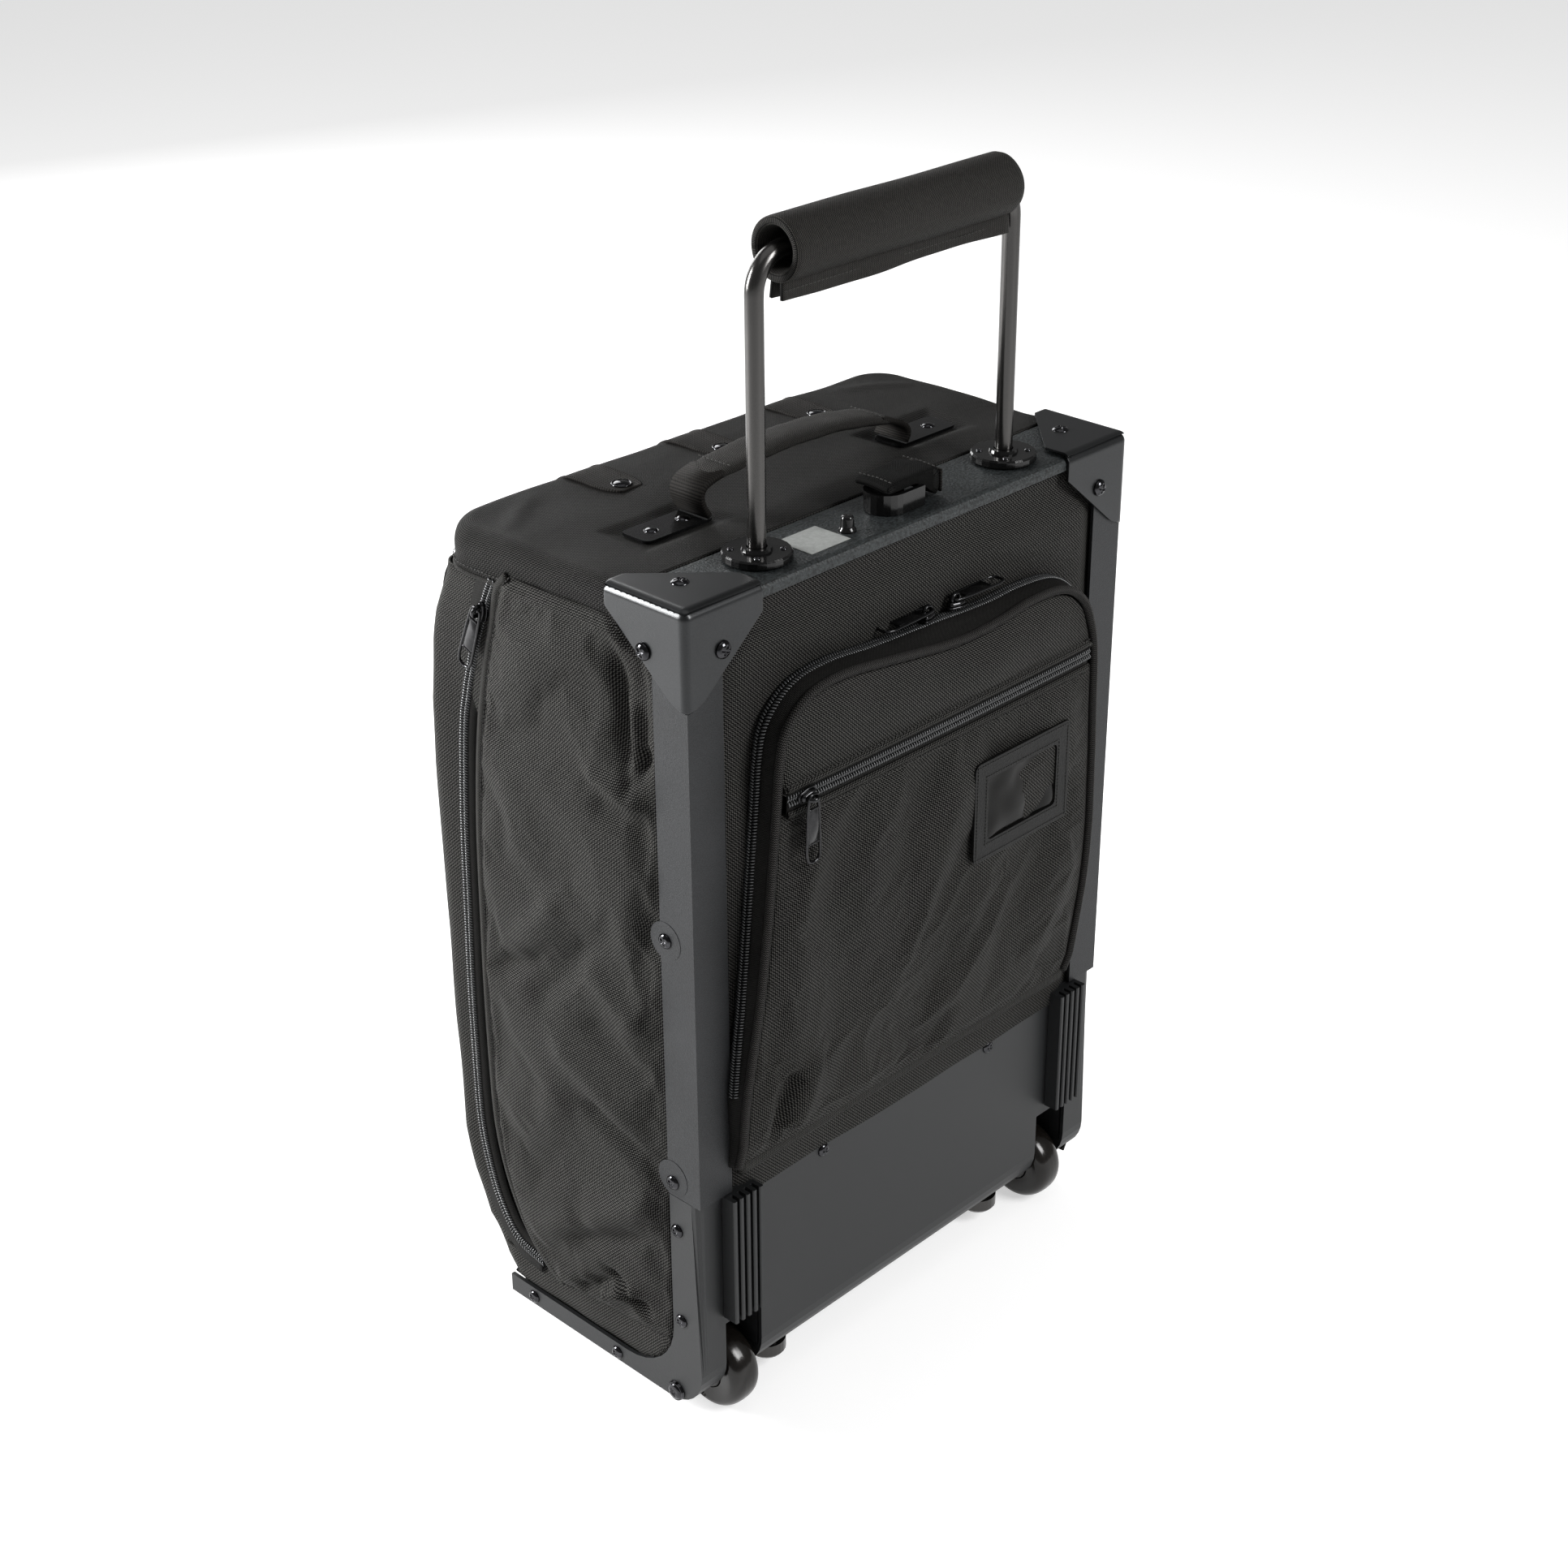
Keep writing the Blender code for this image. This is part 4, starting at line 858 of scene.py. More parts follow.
def rear_panel():
    z, x = np.meshgrid(np.linspace(0.160, 0.5235, 110), np.linspace(-0.1752, 0.1752, 100), indexing="ij")
    edge = np.clip(np.minimum((0.158 - np.abs(x)) / 0.020, (0.515 - z) / 0.020), 0, 1)
    puff = 0.0045 * edge * edge * (3 - 2 * edge) * (1 - guard_cover(0.1798 - np.abs(x), z))
    points = np.stack([x, 0.0050 - puff, z], axis=2)
    points[..., 1] -= ripple(points, 0.0009, 0.055, 5.0) * edge
    points[..., 1] -= strokes(x, z, ((-0.13, 0.505, -0.06, 0.480, 0.007, 0.0016), (0.05, 0.500, 0.13, 0.478, 0.008, 0.0018),
                                     (-0.148, 0.46, -0.140, 0.36, 0.005, 0.0015), (0.149, 0.44, 0.146, 0.33, 0.005, 0.0016)))
    grid("rear_panel", points, thickness=0.0015, replaces=("bag_back",))


# Top panel, draped over its edges

TOP_SEAM = 0.507
TOP_RADIUS = 0.011


def drape(a, b, corner=0.028, height=0.5312, drop=0.024):
    """Where a point of the flat cloth lies once its borders fold down over the edges."""
    core_x, core_y = 0.1790 - corner, 0.1955 - corner
    da, db = np.clip(np.abs(a) - core_x, 0, None), np.clip(b - core_y, 0, None)
    q = np.maximum(da, db)
    far = np.maximum(np.hypot(da, db), 1e-9)
    nx, ny = np.where(q > 0, da / far, 0.0) * np.sign(a), np.where(q > 0, db / far, 0.0)
    flat, r = corner - TOP_RADIUS, TOP_RADIUS
    angle = np.clip((q - flat) / r, 0, math.pi / 2)
    out = np.where(q < flat, q, flat + r * np.sin(angle))
    down = r * (1 - np.cos(angle)) + np.clip(q - flat - r * math.pi / 2, 0, None)
    x = np.clip(a, -core_x, core_x) + nx * out
    y = np.minimum(b, core_y) + ny * out
    return x, y, height - down, q


def top_panel():
    skirt = 0.1790 - 0.028 + 0.017 + TOP_RADIUS * math.pi / 2 + 0.0130
    a, b = np.meshgrid(np.linspace(-skirt, skirt, 170), np.linspace(0.0487, skirt + 0.0165, 90), indexing="xy")
    x, y, z, q = drape(a, b)
    points = np.stack([x, y, z], axis=2)
    flat = np.clip(1 - q / 0.03, 0, 1)
    rear = np.clip((y - 0.050) / 0.02, 0, 1)
    lift = 0.0016 * flat * rear * np.cos(x / 0.17 * math.pi / 2)
    lift += ripple(points, 0.0010, 0.045, 9.0) * rear
    lift += strokes(x, y, ((-0.12, 0.18, -0.165, 0.15, 0.006, 0.0010), (0.12, 0.18, 0.165, 0.15, 0.006, 0.0011),
                           (-0.06, 0.13, 0.02, 0.165, 0.010, 0.0008))) * flat
    beside = np.maximum(np.abs(np.abs(x) - 0.100) - 0.025, np.abs(y - 0.0934) - 0.011)
    under = np.clip(1 - beside / 0.010, 0, 1) * flat
    points[..., 2] += lift * (1 - under) - 0.0016 * under * under * (3 - 2 * under)
    gather = np.clip((q - 0.022) / 0.02, 0, 1)
    wave = 0.0007 * gather * np.sin(x * 230) * np.sin(y * 210)
    points[..., 0] += wave * np.sign(x)
    points[..., 1] += wave
    front = np.clip((y - 0.15) / 0.03, 0, 1) * gather
    points[..., 2] -= 0.0055 * front * np.clip((np.abs(x) - 0.0) / 0.178, 0, 1) * 0.4
    weave = np.stack([a, b, np.zeros_like(a)], axis=2)
    # The top panel uses the darker top fabric: painted shade on the top.
    grid("top_panel", points, "fabric_top", weave=weave, thickness=0.0014, replaces=("bag_roof",))
    edge_a = np.concatenate([np.full(60, -skirt), np.linspace(-skirt, skirt, 170)[1:-1], np.full(60, skirt)])
    edge_b = np.concatenate([np.linspace(0.0487, skirt + 0.0165, 60), np.full(168, skirt + 0.0165),
                             np.linspace(skirt + 0.0165, 0.0487, 60)])
    x, y, z, _ = drape(edge_a, edge_b)
    path = resample(np.stack([x, y, z - 0.0003], axis=1), 0.004)
    normal = unit(path - np.array((0, 0.09, 0)) * 1.0)
    normal[:, 2] = 0
    sweep("top_welt", path, normal, circle(0.0013, 8), "fabric_bias")
    inner = path + unit(normal) * 0.0008 + (0, 0, 0.0042)
    stitches("top_stitch", inner, unit(normal))


# Side panels

SEAM_SIDE = ((0.1330, 0.5150), (0.1414, 0.5050), (0.1465, 0.4855), (0.1529, 0.4636), (0.1587, 0.4375), (0.1631, 0.4146),
             (0.1675, 0.3800), (0.1705, 0.3400), (0.1722, 0.2900), (0.1735, 0.2400), (0.1735, 0.1900),
             (0.1720, 0.1480), (0.1660, 0.1180), (0.1560, 0.0930), (0.1440, 0.0740), (0.1300, 0.0610), (0.1180, 0.0560))
COIL_SIDE = ((0.1465, 0.5085), (0.1530, 0.4955), (0.1625, 0.4720), (0.1701, 0.4498), (0.1753, 0.4317), (0.1794, 0.4138),
             (0.1830, 0.3800), (0.1860, 0.3400), (0.1880, 0.2900), (0.1900, 0.2400), (0.1905, 0.1900), (0.1898, 0.1410),
             (0.1837, 0.1078), (0.1751, 0.0844), (0.1606, 0.0657), (0.1395, 0.0600))

SIDE_FOLDS = (
    # start y, z, end y, z, width, height
    (0.052, 0.500, 0.044, 0.425, 0.0050, -0.0026), (0.040, 0.470, 0.040, 0.420, 0.0040, 0.0020),
    (0.060, 0.490, 0.062, 0.440, 0.0080, 0.0014), (0.030, 0.446, 0.044, 0.418, 0.0040, -0.0020),
    (0.030, 0.412, 0.075, 0.422, 0.0060, 0.0022), (0.030, 0.398, 0.070, 0.404, 0.0070, -0.0016),
    (0.100, 0.335, 0.140, 0.275, 0.0110, 0.0022), (0.078, 0.312, 0.128, 0.252, 0.0090, -0.0022),
    (0.118, 0.288, 0.160, 0.262, 0.0080, -0.0020), (0.035, 0.270, 0.090, 0.300, 0.0100, 0.0020),
    (0.035, 0.238, 0.085, 0.262, 0.0100, -0.0018), (0.045, 0.205, 0.110, 0.240, 0.0120, 0.0022),
    (0.100, 0.205, 0.152, 0.160, 0.0140, 0.0018), (0.030, 0.180, 0.088, 0.206, 0.0070, -0.0024),
    (0.030, 0.160, 0.090, 0.120, 0.0090, 0.0024), (0.040, 0.130, 0.105, 0.098, 0.0070, -0.0022),
    (0.095, 0.122, 0.138, 0.086, 0.0100, 0.0020), (0.048, 0.088, 0.080, 0.070, 0.0045, 0.0034),
    (0.040, 0.074, 0.074, 0.092, 0.0036, -0.0034), (0.070, 0.084, 0.100, 0.068, 0.0045, -0.0024),
    (0.086, 0.078, 0.118, 0.066, 0.0055, 0.0020), (0.140, 0.405, 0.120, 0.340, 0.0140, 0.0014),
    (0.112, 0.490, 0.125, 0.430, 0.0140, 0.0010),
)


def side_panel(side, sign):
    """Padded panel from behind the rail to the zipper, with the folds that its slack makes."""
    front_edge = curve(np.insert(np.array(SEAM_SIDE), 0, 0.0, axis=1), 0.004)[:, 1:]
    front_edge = front_edge[np.argsort(front_edge[:, 1])]
    rows, columns = 170, 70
    bottom = lambda y: 0.0640 - 0.0009 * (y - 0.02) / 0.01
    t = np.linspace(0, 1, rows)
    rise = resample(front_edge, 0.001)
    zf = np.interp(t, np.linspace(0, 1, len(rise)), rise[:, 1])
    yf = np.interp(t, np.linspace(0, 1, len(rise)), rise[:, 0])
    u = np.linspace(0, 1, columns)
    z_rear = 0.0640 + t * (0.5165 - 0.0640)
    y_rear = 0.0195
    y = y_rear + (yf[:, None] - y_rear) * u[None]
    z = z_rear[:, None] + (zf - z_rear)[:, None] * u[None] ** 1.0
    low_edge, high_edge = np.clip(t / 0.02, 0, 1)[:, None], np.clip((1 - t) / 0.02, 0, 1)[:, None]
    border = np.clip((yf[:, None] - y) / 0.010, 0, 1)
    tuck = np.clip((y - 0.0255) / 0.022, 0, 1)
    smooth = lambda s: s * s * (3 - 2 * s)
    proud = 0.0056 * (0.22 + 0.78 * smooth(tuck)) * (0.45 + 0.55 * smooth(border)) * (0.35 + 0.65 * smooth(low_edge * high_edge))
    inset = -0.0024 * (1 - smooth(np.clip((y - 0.0215) / 0.008, 0, 1)))
    soft = smooth(np.clip((y - 0.024) / 0.010, 0, 1)) * smooth(border) * smooth(low_edge * high_edge)
    folds = strokes(y, z, SIDE_FOLDS) * (1.9 if sign < 0 else 1.4)
    hollow = np.hypot((y - 0.028) / 0.060, (z - 0.464) / 0.052)
    folds -= 0.0052 * (1 - smooth(np.clip((hollow - 0.42) / 0.62, 0, 1)))
    points = np.stack([HALF + proud + inset, y, z], axis=2)
    folds += ripple(points, 0.0011, 0.040, 11.0 if sign < 0 else 23.0)
    folds += 0.6 * ripple(points, 0.0007, 0.016, 31.0, (1, 1, 0.7)) * np.clip((0.07 - y) / 0.04, 0, 1)
    points[..., 0] += folds * soft
    if sign > 0:
        points[..., 0] += 0.0050 * soft * np.exp(-((y - 0.085) / 0.055) ** 2 - ((z - 0.285) / 0.095) ** 2)
    under = guard_cover(y + 0.0018, z)
    for ear in (0.336, 0.181):
        away = np.hypot(y - 0.0215, z - ear)
        under = np.maximum(under, np.clip((0.0190 - away) / 0.0065, 0, 1))
    points[..., 0] = points[..., 0] * (1 - under) + (HALF - 0.0010) * under
    tucked = cheek_cover(y, z)
    points[..., 0] = points[..., 0] * (1 - tucked) + (HALF - 0.0036) * tucked
    points[..., 0] *= sign
    shift = np.stack([y, z, np.zeros_like(y)], axis=2)
    obj = grid(f"side_panel_{side}", points, weave=shift, flip=sign < 0, replaces=(f"side_pocket_{side}",))
    held = np.zeros((rows, columns))
    held[:2] = held[-2:] = 1
    held[:, :5] = held[:, -2:] = 1
    relax_cloth(obj, held.ravel(), shrink=-0.010, cap=0.0022)
    solid = obj.modifiers.new("thickness", "SOLIDIFY")
    solid.thickness, solid.offset = 0.0014, -1.0
    welt = curve(np.array([(sign * (HALF + 0.0024), y, z) for y, z in SEAM_SIDE]), 0.003)
    sweep(f"side_welt_{side}", welt, (sign, 0, 0), ((-0.0026, -0.001), (-0.0026, 0.0006), (0, 0.0013), (0.0026, 0.0006), (0.0026, -0.001)),
          "fabric_bias")
    stitches(f"side_stitch_{side}", welt + (sign * 0.0012, -0.0030, 0.0), (sign, 0, 0))
    coil = curve(np.array([(sign * (HALF + 0.0003), y, z) for y, z in COIL_SIDE]), 0.003)
    zipper(f"side_zip_{side}", coil, (sign, 0, 0))


def side_strip(side, sign):
    """Band of fabric along the foot of each side, above the base."""
    y = np.linspace(0.0275, 0.196, 80)
    rows = []
    for t in np.linspace(0, 1, 9):
        top = np.interp(y, (0.028, 0.06, 0.0935, 0.137, 0.196), (0.0640, 0.0607, 0.0592, 0.0560, 0.0520))
        z = 0.0318 + (top - 0.0318) * t
        low_front = front_depth(z) - 0.004
        reach = np.minimum(y, low_front)
        proud = 0.0012 + 0.0016 * math.sin(math.pi * min(1.0, t * 1.02))
        curl = np.clip((reach - (low_front - 0.014)) / 0.014, 0, 1)
        rows.append(np.stack([half_width(z) + proud - 0.010 * curl ** 2, reach + 0.004 * curl, z], axis=1))
    points = np.array(rows)
    points[..., 0] += ripple(points, 0.0006, 0.03, 41.0)
    tucked = cheek_cover(points[..., 1], points[..., 2])
    points[..., 0] = points[..., 0] * (1 - tucked) + (HALF - 0.0036) * tucked
    points[..., 0] *= sign
    grid(f"side_strip_{side}", points, flip=sign < 0, thickness=0.0014)
    top = points[-1] + (sign * 0.0004, 0, 0)
    sweep(f"strip_welt_{side}", resample(top, 0.004), (sign, 0, 0), circle(0.0011, 8), "fabric_bias")


# Back pocket

PIPING_XZ = ((-0.1500, 0.1870), (-0.1498, 0.2050), (-0.1490, 0.2350), (-0.1460, 0.2620), (-0.1423, 0.2900), (-0.1380, 0.3300),
             (-0.1340, 0.3700), (-0.1300, 0.4100), (-0.1277, 0.4347), (-0.1228, 0.4532), (-0.1060, 0.4673),
             (-0.0803, 0.4705), (-0.0473, 0.4666), (-0.0163, 0.4621), (-0.0015, 0.4600), (0.0230, 0.4582),
             (0.0497, 0.4595), (0.0770, 0.4626), (0.1052, 0.4604), (0.1234, 0.4488), (0.1319, 0.4323), (0.1365, 0.4108),
             (0.1385, 0.3700), (0.1410, 0.3300), (0.1435, 0.2900), (0.1440, 0.2620), (0.1425, 0.2350), (0.1400, 0.2050),
             (0.1380, 0.1870))
ZIP_Z = 0.4135


def pocket_depth(z):
    """Depth of the piping at a height."""
    return np.interp(z, (0.187, 0.20, 0.25, 0.30, 0.35, 0.48), (-0.0035, -0.0070, -0.0110, -0.0140, -0.0155, -0.0160))


def back_pocket():
    line = curve(np.array([(x, 0.0, z) for x, z in PIPING_XZ]), 0.003)
    line[:, 1] = pocket_depth(line[:, 2])
    tangent = directions(line * (1, 0, 1))
    outward = np.stack([-tangent[:, 2], np.zeros(len(line)), tangent[:, 0]], axis=1)
    rows = []
    raised = 0.0064 * np.exp(-((line[:, 0] - 0.0135) / 0.048) ** 2) * (line[:, 2] > 0.4)
    for t in np.linspace(0, 1, 13):
        depth = 0.0042 + (line[:, 1] - 0.0042) * t
        swell = 0.0030 * math.sin(math.pi * t) + 0.0016 * (1 - t)
        ring = line + outward * swell
        ring[:, 1] = depth
        ring[:, 2] += raised * min(1.0, (1 - t) / 0.6)
        rows.append(ring)
    gusset = np.array(rows)
    gusset += outward[None] * ripple(gusset, 0.0008, 0.03, 51.0)[..., None]
    grid("pocket_gusset", gusset, "tape", thickness=0.0012, replaces=("back_pocket",))
    coil = line + outward * 0.0046
    coil[:, 1] = -0.0035
    coil[:, 2] += raised
    top = np.abs(coil[:, 2]) > 0.235
    zipper("arch_zip", coil[top], outward[top], tape=False)
    edge = line + outward * 0.0012
    edge[:, 1] -= 0.0008
    piping("pocket_piping", edge, outward)
    face_panels(line)


def face_panels(line):
    """Front of the pocket: a panel above and below its zipper."""
    split_left, split_right = (-0.1290, ZIP_Z), (0.1345, ZIP_Z)
    inset = 0.0022
    tangent = directions(line * (1, 0, 1))
    outward = np.stack([-tangent[:, 2], np.zeros(len(line)), tangent[:, 0]], axis=1)
    rim = line - outward * inset
    rim[:, 1] = line[:, 1] - 0.0004
    upper = rim[rim[:, 2] > ZIP_Z + 0.001]
    columns = 110
    t = np.linspace(0, 1, columns)
    arch = resample(upper, 0.0005)
    arch = np.stack([np.interp(t, np.linspace(0, 1, len(arch)), arch[:, k]) for k in range(3)], axis=1)
    base_x = split_left[0] + inset + (split_right[0] - split_left[0] - 2 * inset) * t
    base = np.stack([base_x, np.full(columns, pocket_depth(ZIP_Z) - 0.0016), np.full(columns, ZIP_Z + 0.0060)], axis=1)
    rows = []
    for s in np.linspace(0, 1, 34):
        row = base + (arch - base) * s
        row[:, 1] -= 0.0040 * math.sin(math.pi * min(1, 0.15 + 0.85 * s)) * np.sin(math.pi * np.clip(0.03 + 0.94 * t, 0, 1)) ** 0.4
        rows.append(row)
    points = np.array(rows)
    points[..., 1] -= ripple(points, 0.0009, 0.040, 61.0) * np.sin(math.pi * np.linspace(0, 1, 34))[:, None]
    weave = np.stack([points[..., 0], points[..., 2], points[..., 0] * 0], axis=2)
    points[0, :, 1] += 0.0016
    grid("pocket_upper", points, weave=weave, thickness=0.0012, flip=False)

    rows_n = 150
    z_levels = np.linspace(0.1868, ZIP_Z - 0.0078, rows_n)
    left = rim[rim[:, 0] < 0][::1]
    left = left[np.argsort(left[:, 2])]
    right = rim[rim[:, 0] > 0]
    right = right[np.argsort(right[:, 2])]
    xl, xr = np.interp(z_levels, left[:, 2], left[:, 0]), np.interp(z_levels, right[:, 2], right[:, 0])
    columns = 150
    t = np.linspace(0, 1, columns)
    x = xl[:, None] + (xr - xl)[:, None] * t
    z = np.broadcast_to(z_levels[:, None], x.shape).copy()
    v = np.linspace(0, 1, rows_n)[:, None]
    belly = np.sin(math.pi * np.clip(t, 0, 1)) ** 0.45 * np.sin(math.pi * (0.06 + 0.90 * v)) ** 0.5
    y = pocket_depth(z) - 0.0006 - 0.0046 * belly
    edge = np.clip(np.minimum(np.minimum(t, 1 - t)[None] * 14, np.minimum(v * 12, (1 - v) * 18)), 0, 1)
    folds = 1.5 * strokes(x, z, POCKET_FOLDS)
    points = np.stack([x, y, z], axis=2)
    folds += ripple(points, 0.0012, 0.045, 71.0, (1, 1, 0.8))
    points[..., 1] -= folds * edge
    points[-1, :, 1] += 0.0016
    weave = np.stack([x, z, x * 0], axis=2)
    obj = grid("pocket_lower", points, weave=weave, flip=False)
    held = np.zeros((rows_n, columns))
    held[:2] = held[-2:] = 1
    held[:, :2] = held[:, -2:] = 1
    relax_cloth(obj, held.ravel(), shrink=-0.012, cap=0.0030)
    solid = obj.modifiers.new("thickness", "SOLIDIFY")
    solid.thickness, solid.offset = 0.0012, -1.0
    level = np.linspace(split_left[0] + 0.004, split_right[0] - 0.005, 90)
    path = np.stack([level, np.full(90, pocket_depth(ZIP_Z) - 0.0022), np.full(90, ZIP_Z)], axis=1)
    path[:, 1] -= 0.0016 * np.sin(math.pi * np.linspace(0, 1, 90)) ** 0.5
    zipper("pocket_zip", path, (0, -1, 0), width=0.85)
    for name, z0, sign in (("pocket_zip_lip_upper", ZIP_Z + 0.0066, 1), ("pocket_zip_lip_lower", ZIP_Z - 0.0082, -1)):
        lip = path + (0, -0.0004, z0 - ZIP_Z)
        sweep(name, lip, (0, -1, 0), ((-0.0020, -0.0012), (-0.0020, 0.0004), (0, 0.0012), (0.0020, 0.0004), (0.0020, -0.0012)), "fabric")
        stitches(name.replace("lip", "stitch"), lip + (0, -0.0008, sign * 0.0030), (0, -1, 0))
    foot = np.stack([np.linspace(-0.1490, 0.1375, 90), np.full(90, -0.0040), 0.1850 + 0.001 * np.cos(np.linspace(-2, 2, 90))], axis=1)
    foot[:, 1] -= 0.0012 * np.sin(math.pi * np.linspace(0, 1, 90))
    sweep("pocket_binding", foot, (0, -1, 0), ((-0.0050, -0.0040), (-0.0052, 0.0), (-0.0030, 0.0012), (0.0020, 0.0012), (0.0042, 0.0), (0.0040, -0.0040)),
          "fabric_bias")


POCKET_FOLDS = (
    (-0.100, 0.400, -0.118, 0.330, 0.0090, 0.0016), (-0.060, 0.402, -0.095, 0.330, 0.0090, -0.0018),
    (-0.030, 0.400, -0.070, 0.320, 0.0090, 0.0018), (0.000, 0.398, -0.045, 0.300, 0.0100, -0.0018),
    (0.015, 0.380, -0.030, 0.270, 0.0110, 0.0018), (0.030, 0.320, -0.020, 0.230, 0.0110, -0.0018),
    (0.070, 0.312, 0.000, 0.215, 0.0130, 0.0018), (0.110, 0.320, 0.050, 0.215, 0.0120, -0.0016),
    (0.125, 0.300, 0.085, 0.220, 0.0110, 0.0018), (-0.110, 0.330, -0.122, 0.260, 0.0100, 0.0014),
    (-0.1136, 0.2400, -0.1280, 0.1890, 0.0048, -0.0048), (-0.098, 0.245, -0.112, 0.190, 0.0080, 0.0030),
    (-0.132, 0.245, -0.140, 0.195, 0.0060, 0.0028), (-0.060, 0.260, -0.085, 0.195, 0.0110, -0.0016),
    (-0.030, 0.240, -0.055, 0.192, 0.0090, 0.0016), (0.020, 0.225, 0.000, 0.190, 0.0070, -0.0016),
    (0.100, 0.215, 0.120, 0.192, 0.0060, -0.0022), (0.125, 0.240, 0.138, 0.200, 0.0060, 0.0024),
)


def id_window():
    """The window's sewn border and its slightly wavy clear pane."""
    low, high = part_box("id_window_frame")
    z, x = np.meshgrid(np.linspace(low.z + 0.010, high.z - 0.010, 40), np.linspace(low.x + 0.010, high.x - 0.010, 50),
                       indexing="ij")
    points = np.stack([x, np.full_like(x, high.y - SHIFT - 0.0006), z], axis=2)
    points[..., 1] += ripple(points, 0.0007, 0.016, 61.0)
    grid("window_pane", points, "clear")
    y = low.y - SHIFT - 0.0002
    x0, x1, z0, z1 = low.x, high.x, low.z, high.z
    for name, inset in (("window_stitch_outer", 0.0022), ("window_stitch_inner", 0.0100)):
        a, b, c, d = x0 + inset, x1 - inset, z0 + inset, z1 - inset
        path = [(a, y, c), (b, y, c), (b, y, d), (a, y, d), (a, y, c)]
        stitches(name, path, (0, -1, 0), pitch=0.0022, length=0.0015, radius=0.0002)


# Lid, hinged at its foot

def lid():
    rows = 120
    inner, outer = 0.0, 1.0
    for name, face, material, slot in (("lid_panel", 1, "fabric", "fabric"), ("lid_lining", -1, "lining", "lining")):
        z_mid, t = 0.2780, np.linspace(0, 1, rows)
        levels = np.linspace(0, 1, 26)
        rings = []
        path = perimeter(0.1630, 0.0500, 0.5060, 0.020, 0.0, 0.004)[:-1]
        for s in levels:
            shrink = 1 - s
            x = path[:, 0] * (1 - s * 0.94) if False else path[:, 0] * (1 - s * 0.97)
            z = z_mid + (path[:, 2] - z_mid) * (1 - s * 0.97)
            distance = s * 0.1630
            roll = min(1.0, distance / 0.0055)
            height = 0.0012 + 0.0066 * math.sqrt(max(0.0, 1 - (1 - roll) ** 2)) if face > 0 else 0.0008
            rings.append(np.stack([x, front_depth(z) + height, z], axis=1))
        points = np.array(rings)
        if face > 0:
            points[..., 1] += ripple(points, 0.0009, 0.05, 81.0) * np.clip(levels * 8, 0, 1)[:, None]
        weave = np.stack([points[..., 0], points[..., 2], points[..., 0] * 0], axis=2)
        obj = grid(name, points, material, "lid", ("lid",) if face > 0 else (), weave, flip=face > 0, close_columns=True)
        close_middle(obj, len(path), rings=len(levels), flip=face > 0)
    path = perimeter(0.1560, 0.0580, 0.4990, 0.016, 0.0086)
    zipper("lid_zip", path[:-1], (0, 1, 0), "lid", width=0.7)
    edge = perimeter(0.1628, 0.0502, 0.5058, 0.020, 0.0016)
    piping("lid_piping", edge, (0, 1, 0), 0.0020, "lid", closed=True)
    front_pocket()


def close_middle(obj, columns, rings, flip):
    """One face over the innermost ring."""
    mesh = obj.data
    verts = [v.co.copy() for v in mesh.vertices]
    faces = [list(p.vertices) for p in mesh.polygons]
    start = (rings - 1) * columns
    last = list(range(start, start + columns))
    faces.append(last[::-1] if flip else last)
    weave = np.zeros(len(verts) * 3, np.float32)
    mesh.attributes["weave"].data.foreach_get("vector", weave)
    mesh.clear_geometry()
    mesh.from_pydata(verts, [], faces)
    layer = mesh.attributes.get("weave") or mesh.attributes.new("weave", "FLOAT_VECTOR", "POINT")
    layer.data.foreach_set("vector", weave)
    mesh.shade_smooth()
    mesh.update()


